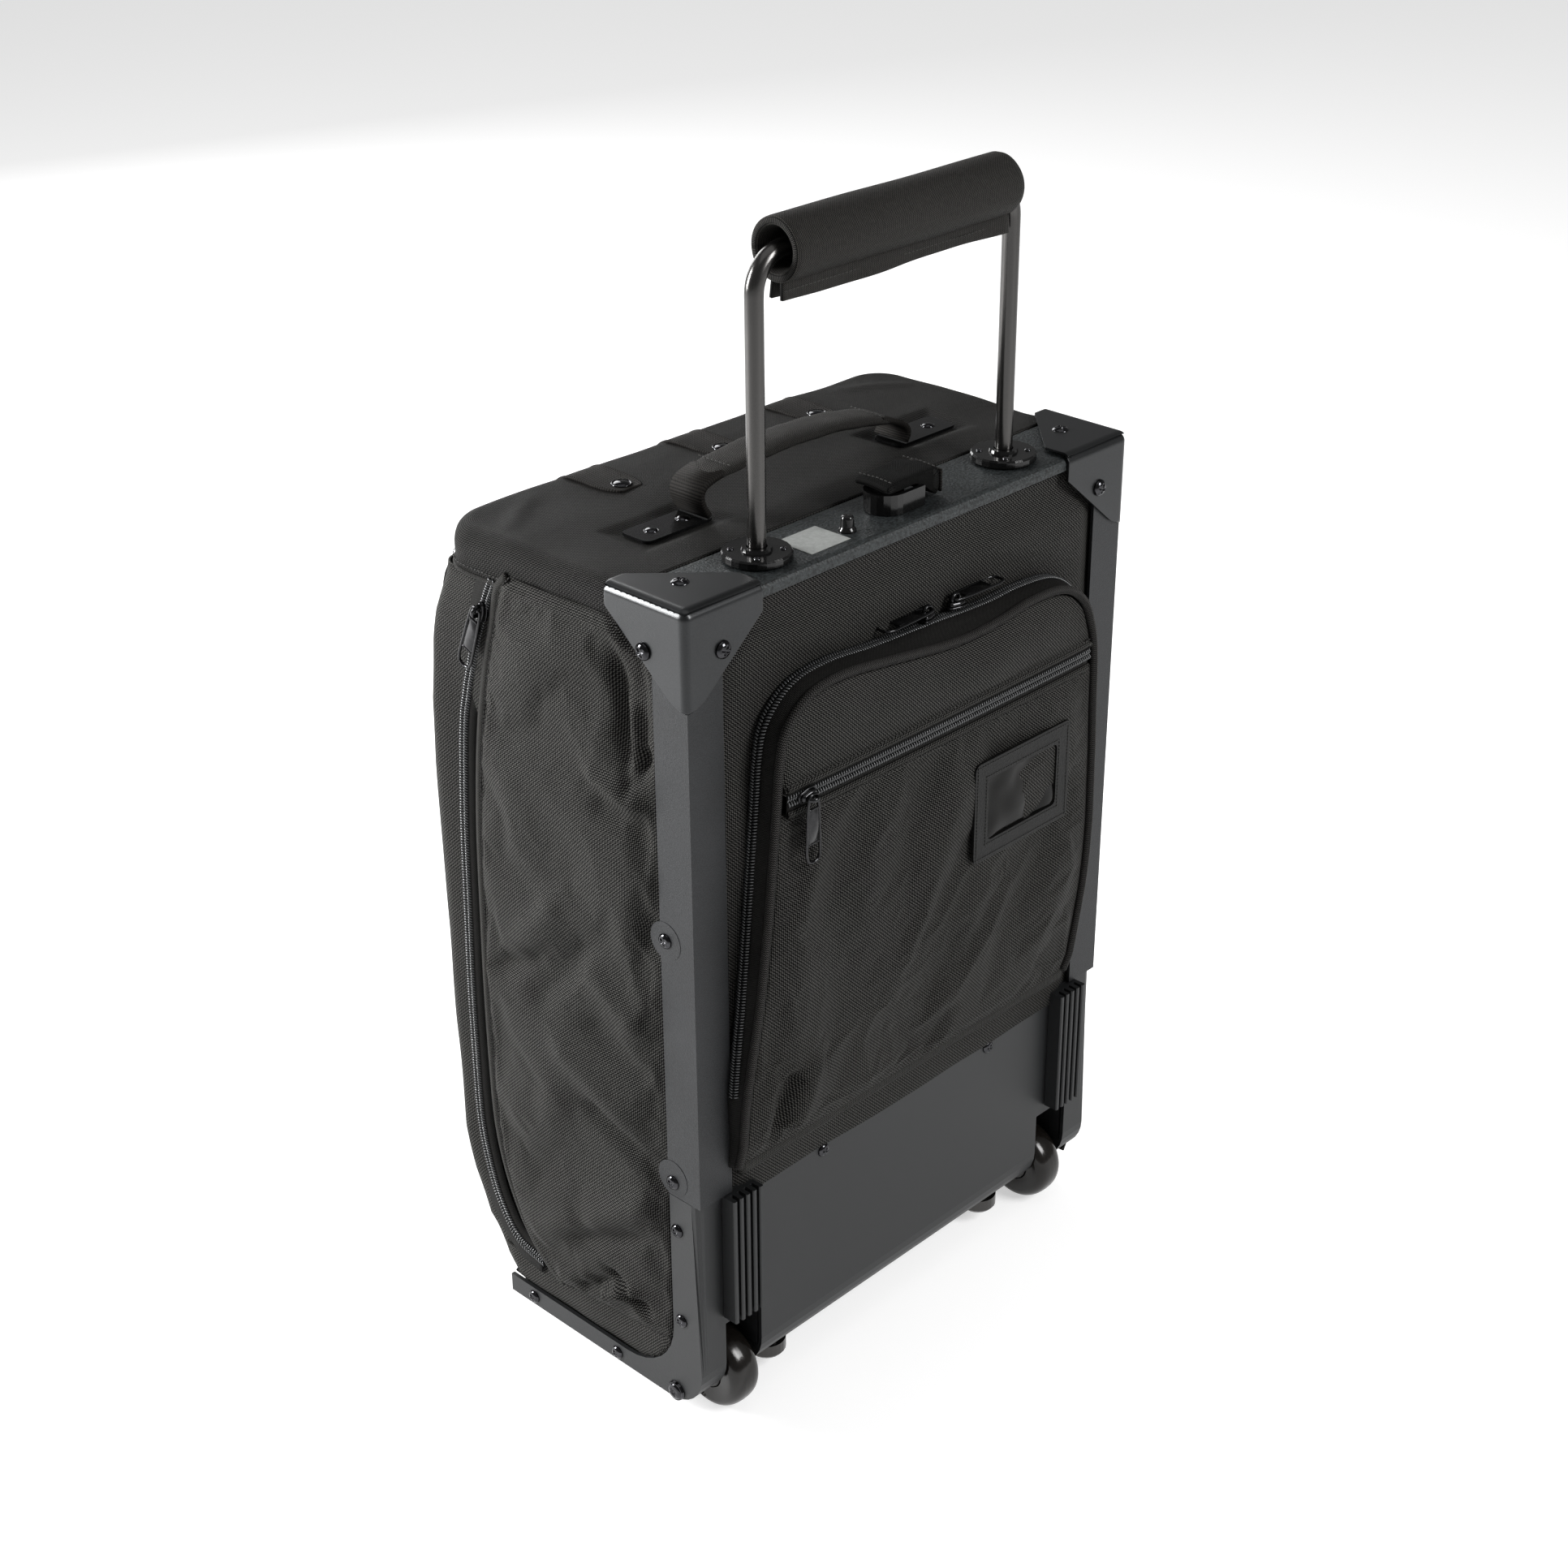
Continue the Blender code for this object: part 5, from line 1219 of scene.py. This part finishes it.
def front_pocket():
    """Large padded pocket on the lid, with piping and a zipper under its top edge."""
    path = perimeter(0.1420, 0.0820, 0.3350, 0.018, 0.0, 0.004)[:-1]
    z_mid = 0.2085
    rings = []
    for s, height in ((0.0, 0.0070), (0.0, 0.0120), (0.006, 0.0172), (0.03, 0.0195), (0.08, 0.0210), (0.16, 0.0222), (0.3, 0.0230),
                      (0.45, 0.0234), (0.6, 0.0236), (0.75, 0.0237), (0.9, 0.0237), (0.97, 0.0237)):
        x, z = path[:, 0] * (1 - s), z_mid + (path[:, 2] - z_mid) * (1 - s)
        taper = np.interp(z, (0.30, 0.335), (1.0, 0.72))
        rings.append(np.stack([x, front_depth(z) + 0.007 + (height - 0.007) * taper, z], axis=1))
    points = np.array(rings)
    fade = np.clip(np.arange(len(rings)) / 4, 0, 1)[:, None]
    points[..., 1] += (ripple(points, 0.0012, 0.045, 91.0) + strokes(points[..., 0], points[..., 2], (
        (-0.11, 0.30, -0.12, 0.20, 0.010, 0.0016), (0.10, 0.28, 0.05, 0.20, 0.011, -0.0014),
        (-0.05, 0.13, 0.02, 0.10, 0.012, 0.0014)))) * fade
    weave = np.stack([points[..., 0], points[..., 2], points[..., 0] * 0], axis=2)
    obj = grid("front_pocket_pad", points, "fabric", "lid", ("front_pocket",), weave, flip=True, close_columns=True)
    close_middle(obj, len(path), len(rings), True)
    edge = perimeter(0.1424, 0.0816, 0.3354, 0.018, 0.0078)
    piping("front_pocket_foot", edge, (0, 1, 0), 0.0016, "lid", closed=True)
    rim = perimeter(0.1402, 0.0840, 0.3330, 0.017, 0.0)
    rim[:, 1] += 0.007 + (0.0165 - 0.007) * np.interp(rim[:, 2], (0.30, 0.335), (1.0, 0.72))
    piping("front_pocket_piping", rim, (0, 1, 0), 0.0019, "lid", closed=True)
    level = np.stack([np.linspace(-0.118, 0.118, 80), np.zeros(80), np.full(80, 0.400)], axis=1)
    level[:, 1] = front_depth(0.400) + 0.0081
    zipper("flat_pocket_zip", level, (0, 1, 0), "lid", width=0.6)
    for name, z0 in (("flat_zip_lip_upper", 0.4058), ("flat_zip_lip_lower", 0.3942)):
        lip = level + (0, 0.0002, z0 - 0.400)
        sweep(name, lip, (0, 1, 0), ((-0.0020, -0.0012), (-0.0020, 0.0004), (0, 0.0012), (0.0020, 0.0004), (0.0020, -0.0012)), "fabric", "lid")
    slider("flat_pocket", (-0.106, front_depth(0.400) + 0.0092, 0.400), (-1, 0, 0), (0, 1, 0), (0, 0, 1), "lid", "lid")


# Sliders and pulls, modelled standing on the XY plane and running along +X

PIVOT_HEIGHT = 0.0056


def placed(points, place, along, outward):
    x_axis, z_axis = unit(along), unit(outward)
    turn = np.stack([x_axis, np.cross(z_axis, x_axis), z_axis])
    return np.asarray(place) + np.asarray(points, float) @ turn


def local_tube(batch, path, radius, place, along, outward, closed=True, sides=8, flat=1.0):
    path = np.asarray(path, float)
    tangent = directions(path, closed)
    reference = np.broadcast_to(np.array((0.0, 0.0, 1.0)), path.shape)
    if np.abs(tangent[:, 2]).max() > 0.9:
        reference = np.broadcast_to(np.array((0.0, 1.0, 0.0)), path.shape)
    second = unit(reference - tangent * (reference * tangent).sum(1, keepdims=True))
    first = np.cross(tangent, second)
    turn = np.linspace(0, 2 * math.pi, sides, endpoint=False)
    points = (path[:, None] + first[:, None] * (radius * np.cos(turn))[None, :, None]
              + second[:, None] * (radius * flat * np.sin(turn))[None, :, None])
    faces = grid_faces(len(path), sides, closed, True)
    if not closed:
        faces += [list(range(sides))[::-1], list(range((len(path) - 1) * sides, len(path) * sides))]
    batch.add(placed(points.reshape(-1, 3), place, along, outward), faces)


def outline_block(batch, outline, levels, place, along, outward):
    """Stack a flat outline at several heights, each drawn in by an inset, into a closed block."""
    outline = np.asarray(outline, float)
    centre = outline.mean(0)
    rings = []
    for z, inset in levels:
        toward = centre - outline
        pulled = outline + unit(toward) * inset
        rings.append(np.column_stack([pulled, np.full(len(outline), z)]))
    points = np.concatenate(rings)
    batch.add(placed(points, place, along, outward), ring_faces(len(levels), len(outline)))


def slider(name, place, along, outward, hang=None, slider_body=None, pull_body=None):
    slider_body, pull_body = slider_body or f"{name}_slider", pull_body or f"{name}_pull"
    own = f"{name}_slider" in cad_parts
    half, back = 0.0065, 0.0045
    outline = rounded_profile([(-half, -back), (-0.001, -back), (half * 0.75, -0.62 * back), (half, -0.35 * back),
                               (half, 0.35 * back), (half * 0.75, 0.62 * back), (-0.001, back), (-half, back)], 0.0016, 4)
    batch = Batch()
    outline_block(batch, outline, ((0.0002, 0.0008), (0.0005, 0.0), (0.0013, 0.0), (0.0015, 0.0006)), place, along, outward)
    outline_block(batch, outline * 0.8, ((0.0014, 0.0), (0.0026, 0.0), (0.0036, 0.0008), (0.0040, 0.0018)), place, along, outward)
    bail = [(-0.0030, 0, 0.0036)] + [(-0.0002 + 0.0032 * math.cos(a), 0, 0.0050 + 0.0030 * math.sin(a))
                                     for a in np.linspace(math.pi, 0, 11)] + [(0.0032, 0, 0.0036)]
    local_tube(batch, bail, 0.0010, place, along, outward, closed=False, flat=1.4)
    batch.make(f"{name}_slider_body", "black_metal", slider_body, (f"{name}_slider",) if own else ())
    pivot = np.asarray(place, float) + unit(outward) * PIVOT_HEIGHT
    batch = Batch()
    reach = hang or along
    edge = rounded_profile([(0.0024, -0.0030), (0.0024, 0.0030), (-0.0060, 0.0042), (-0.0330, 0.0052), (-0.0372, 0.0040),
                            (-0.0384, 0.0), (-0.0372, -0.0040), (-0.0330, -0.0052), (-0.0060, -0.0042)], 0.0030, 5)
    ring = np.column_stack([edge, np.zeros(len(edge))])
    local_tube(batch, ring, 0.00085, pivot, reach, outward)
    plate = rounded_profile([(-0.0062, -0.0036), (-0.0062, 0.0036), (-0.0262, 0.0044), (-0.0262, -0.0044)], 0.0012, 3)
    outline_block(batch, plate, ((-0.0005, 0.0003), (-0.0003, 0.0), (0.0003, 0.0), (0.0005, 0.0003)), pivot, reach, outward)
    for x, wide in ((-0.0062, 0.0040), (-0.0266, 0.0044)):
        bar = np.array([(x, y, 0.0) for y in np.linspace(-wide, wide, 7)])
        local_tube(batch, bar, 0.00075, pivot, reach, outward, closed=False)
    batch.make(f"{name}_pull_tab", "black_metal", pull_body, (f"{name}_pull",) if own else ())


def sliders():
    for side, sign in SIDES:
        slider(f"side_{side}", (sign * (HALF + 0.0005), 0.1560, 0.4890), (0, -0.019, 0.050), (sign, 0, 0))
        slider(f"arch_{side}", (0.0135 + sign * 0.0115, -0.0035, 0.4725), (-sign, 0, 0), (0, 0, 1))
    slider("back", (-0.1130, -0.0203, 0.4140), (-1, 0, 0), (0, -1, 0), (0, 0, 1))
    slider("lid", (0.1560, 0.2135, 0.4600), (0, 0, 1), (0, 1, 0))


# Interior

def interior():
    """Lining that follows the inside of the bag, seen when the lid is open."""
    heights = np.concatenate([[0.0285], np.linspace(0.034, 0.514, 50), [0.5185]])
    rows = []
    for z in heights:
        half = min(0.1690, 0.1640 + (z - 0.028) * 0.3)
        front = front_depth(z) - 0.0045
        shelf = 0.0680 if z < 0.0875 else 0.0385
        edge = 0.155
        line = [(-edge, front, z), (-half + 0.006, front, z), (-half, front - 0.006, z)]
        line += [(-half, y, z) for y in np.linspace(front - 0.02, shelf + 0.008, 12)]
        line += [(-half + 0.006, shelf, z)] + [(x, shelf, z) for x in np.linspace(-half + 0.02, half - 0.02, 24)]
        line += [(-x, y, zz) for x, y, zz in reversed(line[:15])]
        rows.append(line)
    points = np.array(rows)
    points[..., 1] += ripple(points, 0.0012, 0.05, 101.0) * np.clip((0.16 - points[..., 1]) / 0.05, 0, 1)
    grid("lining_wall", points, "lining")
    for name, z0, low in (("lining_roof", 0.5187, 0.0385), ("lining_floor", 0.0283, 0.0680)):
        y, x = np.meshgrid(np.linspace(low, front_depth(z0) - 0.006, 20), np.linspace(-0.1685, 0.1685, 40), indexing="ij")
        grid(name, np.stack([x, y, np.full_like(x, z0)], axis=2), "lining", flip=z0 > 0.3)
    y, x = np.meshgrid(np.linspace(0.0385, 0.0680, 6), np.linspace(-0.1685, 0.1685, 40), indexing="ij")
    grid("lining_shelf", np.stack([x, y, np.full_like(x, 0.0875)], axis=2), "lining")


# Handles and top fittings

def pull_handle():
    bend, top = 0.020, 0.691
    path = [(-0.100, 0.0264, z) for z in np.linspace(0.130, top - bend, 30)]
    path += [(-0.080 - bend * math.cos(a), 0.0264, top - bend + bend * math.sin(a)) for a in np.linspace(0, math.pi / 2, 14)[1:]]
    path += [(x, 0.0264, top) for x in np.linspace(-0.078, 0, 20)]
    path = np.array(path + [(-x, y, z) for x, y, z in reversed(path[:-1])])
    sweep("rod_bar", path, (0, 1, 0), circle(0.005, 28), "rod", "pull_handle", ("pull_rod",))
    low, high = -0.0855, 0.0930
    outer, inner = 0.0170, 0.0122
    turn = np.linspace(0, 2 * math.pi, 48, endpoint=False)
    section = [(low + 0.0010, inner), (low, inner + 0.0012), (low, outer - 0.0012), (low + 0.0008, outer - 0.0002)]
    section += [(x, outer) for x in np.linspace(low + 0.004, high - 0.006, 56)]
    section += [(high - 0.0025, outer - 0.0010), (high - 0.0004, outer - 0.0036), (high, inner + 0.0010), (high - 0.001, inner - 0.001)]
    section += [(x, inner - 0.001) for x in np.linspace(high - 0.01, low + 0.01, 20)]
    section = np.array(section)
    points = np.zeros((len(section), 48, 3))
    points[..., 0] = section[:, :1]
    radius = section[:, 1:] * (1 + 0.010 * np.sin(3 * turn + 40 * section[:, :1]) + 0.006 * np.sin(5 * turn - 70 * section[:, :1]))
    points[..., 1] = 0.0264 + radius * np.cos(turn) * 0.985
    points[..., 2] = 0.6910 + radius * np.sin(turn) * 1.0
    weave = np.zeros_like(points)
    weave[..., 0] = points[..., 0]
    weave[..., 1] = turn * outer
    obj = grid("grip_sleeve", points, "padding", "pull_handle", ("grip_wrap",), weave, close_columns=True,
               close_rows=True, flip=True)
    for name, y0, lean in (("grip_flap_rear", 0.0243, -1), ("grip_flap_front", 0.0286, 1)):
        x, s = np.meshgrid(np.linspace(low + 0.002, high - 0.002, 80), np.linspace(0, 1, 10), indexing="xy")
        wave = 0.0007 * np.sin(x * 60 + lean) + 0.0005 * np.sin(x * 130)
        y = y0 + wave * s + lean * 0.0006 * s
        z = 0.6770 - 0.0122 * s + 0.0006 * np.sin(x * 45) * s
        points = np.stack([x, y, z], axis=2)
        flap = grid(name, points, "padding", "pull_handle", thickness=0.0018, flip=lean > 0)
    stitches("grip_stitch", [(low + 0.004, 0.0224, 0.6700), (high - 0.004, 0.0224, 0.6700)], (0, -1, 0), "pull_handle")


def carry_handle():
    body = "carry_handle"
    depth = 0.0934 + SHIFT
    flexing = ("case", body, (0.0, depth, 0.5355), (0.0, depth, 0.5510))
    line = [(-0.0790, 0.0934, 0.5335), (-0.0830, 0.0934, 0.5400), (-0.0845, 0.0934, 0.5460), (-0.0800, 0.0934, 0.5512),
            (-0.0650, 0.0934, 0.5545), (-0.0400, 0.0932, 0.5568), (-0.0100, 0.0932, 0.5580), (0.0200, 0.0934, 0.5564),
            (0.0450, 0.0936, 0.5530), (0.0650, 0.0938, 0.5490), (0.0775, 0.0936, 0.5435), (0.0815, 0.0934, 0.5385), (0.0790, 0.0934, 0.5335)]
    path = curve(line, 0.002)
    run = np.linspace(0, 1, len(path))
    tangent = directions(path)
    outward = np.cross(tangent, (0, 1, 0))
    outward *= np.sign(outward[len(path) // 2, 2])
    grow = np.interp(run, (0, 0.10, 0.17, 0.22, 0.80, 0.86, 0.92, 1), (0, 0, 0.7, 1, 1, 0.7, 0, 0))
    turn = np.linspace(0, 2 * math.pi, 36, endpoint=False)
    wide, thick = 0.0104 + 0.0026 * grow, 0.0011 + 0.0026 * grow
    cs, sn = np.cos(turn), np.sin(turn)
    shape_x, shape_y = np.sign(cs) * np.abs(cs) ** 0.75, np.sign(sn) * np.abs(sn) ** 0.9
    points = (path[:, None] + np.array((0, 1, 0)) * (wide[:, None] * shape_x)[..., None]
              + outward[:, None] * (thick[:, None] * shape_y)[..., None])
    points[..., 2] += ripple(points, 0.0005, 0.02, 111.0) * grow[:, None]
    weave = np.zeros_like(points)
    along = np.insert(np.cumsum(np.linalg.norm(np.diff(path, axis=0), axis=1)), 0, 0)
    weave[..., 0], weave[..., 1] = along[:, None], turn * 0.011
    rows = len(path)
    faces = grid_faces(rows, 36, False, True, flip=True) + [list(range(36)), list(range((rows - 1) * 36, rows * 36))[::-1]]
    obj = piece("handle_pad", points, faces, "padding", flexing, ("carry_handle",), weave)
    for name, keep, rise in (("handle_web_left", run < 0.185, 0.0005), ("handle_web_right", run > 0.835, 0.0005)):
        part = path[keep] + outward[keep] * rise
        sweep(name, part, outward[keep], ((-0.0118, -0.0017), (-0.0122, 0.0), (-0.0118, 0.0017), (0.0118, 0.0017), (0.0122, 0.0), (0.0118, -0.0017)),
              "webbing", flexing)
    for name, at in (("handle_stitch_left", 0.20), ("handle_stitch_right", 0.82)):
        k = int(at * len(path))
        across = [path[k] + outward[k] * (thick[k] + 0.0002) + (0, y, 0) for y in (-0.011, 0.011)]
        stitches(name, across, outward[k], body)


def snap_tabs():
    for side, x in (("left", -0.079), ("centre", 0.0), ("right", 0.079)):
        body = f"snap_tab_{side}"
        line = curve([(x, 0.2053, 0.4965), (x, 0.2035, 0.5080), (x, 0.1985, 0.5195), (x, 0.1925, 0.5280), (x, 0.1830, 0.5328),
                      (x, 0.1700, 0.5334), (x, 0.1560, 0.5331), (x, 0.1430, 0.5328)], 0.002)
        tangent = directions(line)
        outward = np.cross(tangent, (1, 0, 0))
        outward *= 1 if outward[-1, 2] > 0 else -1
        run = np.linspace(0, 1, len(line))
        half = np.interp(run, (0, 0.80, 0.90, 0.97, 1.0), (0.0130, 0.0130, 0.0120, 0.0095, 0.0075))
        profile = np.array(((-1, -0.0010), (-1.0, 0.0006), (-0.92, 0.0011), (-0.86, 0.0007), (0, 0.0008), (0.86, 0.0007), (0.92, 0.0011), (1.0, 0.0006), (1, -0.0010)))
        points = (line[:, None] + np.array((1, 0, 0)) * (half[:, None] * profile[:, 0])[..., None]
                  + outward[:, None] * profile[None, :, 1:])
        rows, columns = points.shape[:2]
        along = np.insert(np.cumsum(np.linalg.norm(np.diff(line, axis=0), axis=1)), 0, 0)
        weave = np.zeros_like(points)
        weave[..., 0], weave[..., 1] = along[:, None], half[:, None] * profile[:, 0]
        faces = grid_faces(rows, columns, False, True) + [list(range(columns))[::-1], list(range((rows - 1) * columns, rows * columns))]
        piece(f"tab_strap_{side}", points, faces, "webbing", body, (f"snap_tab_{side}",), weave)
        caps = Batch()
        dome(caps, (x, 0.1520, 0.5336), (0, 0, 1), 0.0048, 0.0016, flange=0.0012)
        caps.make(f"tab_cap_{side}", "chrome", body)


def top_fittings():
    screws = Batch()
    for sign in (-1, 1):
        for x in (0.112, 0.0886):
            dome(screws, (sign * x, 0.0934, 0.5316), (0, 0, 1), 0.0036, 0.0016, flange=0.0006)
        for k in range(4):
            a = math.radians(45 + 90 * k)
            dome(screws, (sign * 0.100 + 0.0138 * math.cos(a), 0.0264 + 0.0138 * math.sin(a), 0.5362), (0, 0, 1), 0.0019, 0.0012, 0.0003)
        dome(screws, (sign * 0.154, 0.028, 0.5333), (0, 0, 1), 0.0052, 0.0028, 0.0006)
        dome(screws, (sign * 0.154, -0.0022, 0.506), (0, -1, 0), 0.0050, 0.0028, 0.0006)
        dome(screws, (sign * (HALF + 0.0022), 0.029, 0.504), (sign, 0, 0), 0.0050, 0.0028, 0.0006)
        for z in (0.336, 0.181):
            dome(screws, (sign * (HALF + 0.0002), 0.0215, z - (0.003 if z < 0.2 else 0.0)), (sign, 0, 0), 0.0046, 0.0024, 0.0006)
        for y, z in ((0.0193, 0.1453), (0.0180, 0.0814), (0.0753, 0.0255), (0.1508, 0.0260)):
            dome(screws, (sign * (HALF + 0.0001), y, z), (sign, 0, 0), 0.0043, 0.0024, 0.0006)
        dome(screws, (sign * (HALF + 0.0016), 0.0240, 0.0265), (sign, 0, 0), 0.0052, 0.0018, 0.0008)
        dome(screws, (sign * 0.075, TUB_REAR - 0.0001, 0.1560), (0, -1, 0), 0.0043, 0.0024, 0.0006)
    screws.make("screw_heads", "chrome")
    rear = np.array(((-0.0098, 0.5428), (-0.0124, 0.5444), (-0.0118, 0.5474), (-0.0040, 0.5492), (0.0080, 0.5486), (0.0190, 0.5494),
                     (0.0296, 0.5484), (0.0326, 0.5452), (0.0322, 0.5322), (0.0268, 0.5322), (0.0262, 0.5434), (0.0050, 0.5431)))
    y = np.array((0.0150, 0.0154, 0.0170, 0.0195, 0.0225, 0.0255, 0.0295, 0.0335, 0.0372, 0.0390, 0.0394))
    inset = np.array((0.0016, 0.0006, 0.0, 0.0, 0.0, 0.0, 0.0, 0.0, 0.0, 0.0006, 0.0016))
    centre = rear.mean(0)
    rings = []
    for yy, pull in zip(y, inset):
        ring = rear - unit(rear - centre) * pull
        high = (ring[:, 1] > 0.5425).astype(float)
        sag = 0.0010 * math.sin((yy - 0.01) * 107) - 0.0006 * np.cos(ring[:, 0] * 210 + yy * 160)
        rings.append(np.column_stack([ring[:, 0], np.full(len(ring), yy), ring[:, 1] + sag * high]))
    points = np.array(rings)
    weave = np.stack([points[..., 0], points[..., 1] + points[..., 2], points[..., 0] * 0], axis=2)
    faces = ring_faces(len(rings), len(rear))
    patch = piece("hook_patch", points, faces, "felt", "case", ("hook_strap",), weave)
    patch.modifiers.new("round", "SUBSURF").render_levels = 2
    patch.modifiers["round"].levels = 2
    y, z = np.meshgrid(np.linspace(0.0154, 0.0388, 12), np.linspace(0.5335, 0.5462, 8), indexing="ij")
    end = np.stack([0.0331 + 0.0004 * np.sin(y * 300), y, z], axis=2)
    weave = np.stack([z, y, y * 0], axis=2)
    grid("hook_webbing", end, "webbing", weave=weave, thickness=0.0012)
    for k, x in enumerate((-0.0080, 0.0275)):
        stitches(f"hook_stitch_{k}", [(x, 0.0165, 0.5496), (x, 0.0255, 0.5502), (x, 0.0378, 0.5496)], (0, 0, 1))
    label = np.array([(x, y, z) for z in (PLATE_TOP, PLATE_TOP + 0.0003) for x, y in ((-0.077, 0.009), (-0.047, 0.009), (-0.047, 0.035), (-0.077, 0.035))])
    piece("blank_label", label, ring_faces(2, 4), "label", smooth=False)
    tip = rounded_profile(((0.0002, 0.5303), (0.0050, 0.5303), (0.0049, 0.5322), (0.0038, 0.5336), (0.0036, 0.5385),
                           (0.0030, 0.5398), (0.0002, 0.5402)), 0.0006)
    lathe("button_cap", tip, (-0.040, 0.018, 0.0), (0, 0, 1), "gloss_plastic", "release_button", ("release_button",), 48)


TUB_REAR = 0.0024


def wheels():
    for side, sign in SIDES:
        centre = (sign * 0.143, 0.024, 0.0265)
        half = [(0.0113, 0.0105), (0.0180, 0.0112), (0.0205, 0.0112), (0.0226, 0.0104), (0.0240, 0.0092), (0.0250, 0.0078), (0.0258, 0.0060),
                (0.0263, 0.0036), (0.0265, 0.0)]
        profile = rounded_profile(half + [(r, -x) for r, x in reversed(half[:-1])], 0.0008)
        lathe(f"tyre_tread_{side}", profile, centre, (1, 0, 0), "tyre", f"wheel_{side}", (f"tyre_{side}",), 96)
        hub = [(0.0043, 0.0118), (0.0060, 0.0118), (0.0064, 0.0108), (0.0082, 0.0106), (0.0086, 0.0118), (0.0098, 0.0118), (0.0110, 0.0106)]
        profile = rounded_profile(hub + [(r, -x) for r, x in reversed(hub)], 0.0004, 2)
        lathe(f"hub_disc_{side}", profile, centre, (1, 0, 0), "hub", f"wheel_{side}", (f"hub_{side}",), 72)


def build():
    make_camera()
    make_materials()
    studio()
    finish_cad()
    bag_body()
    rim_binding()
    rear_panel()
    top_panel()
    for side, sign in SIDES:
        corner_guard(side, sign)
        side_panel(side, sign)
        side_strip(side, sign)
    back_pocket()
    id_window()
    lid()
    interior()
    sliders()
    pull_handle()
    carry_handle()
    snap_tabs()
    top_fittings()
    wheels()


build()
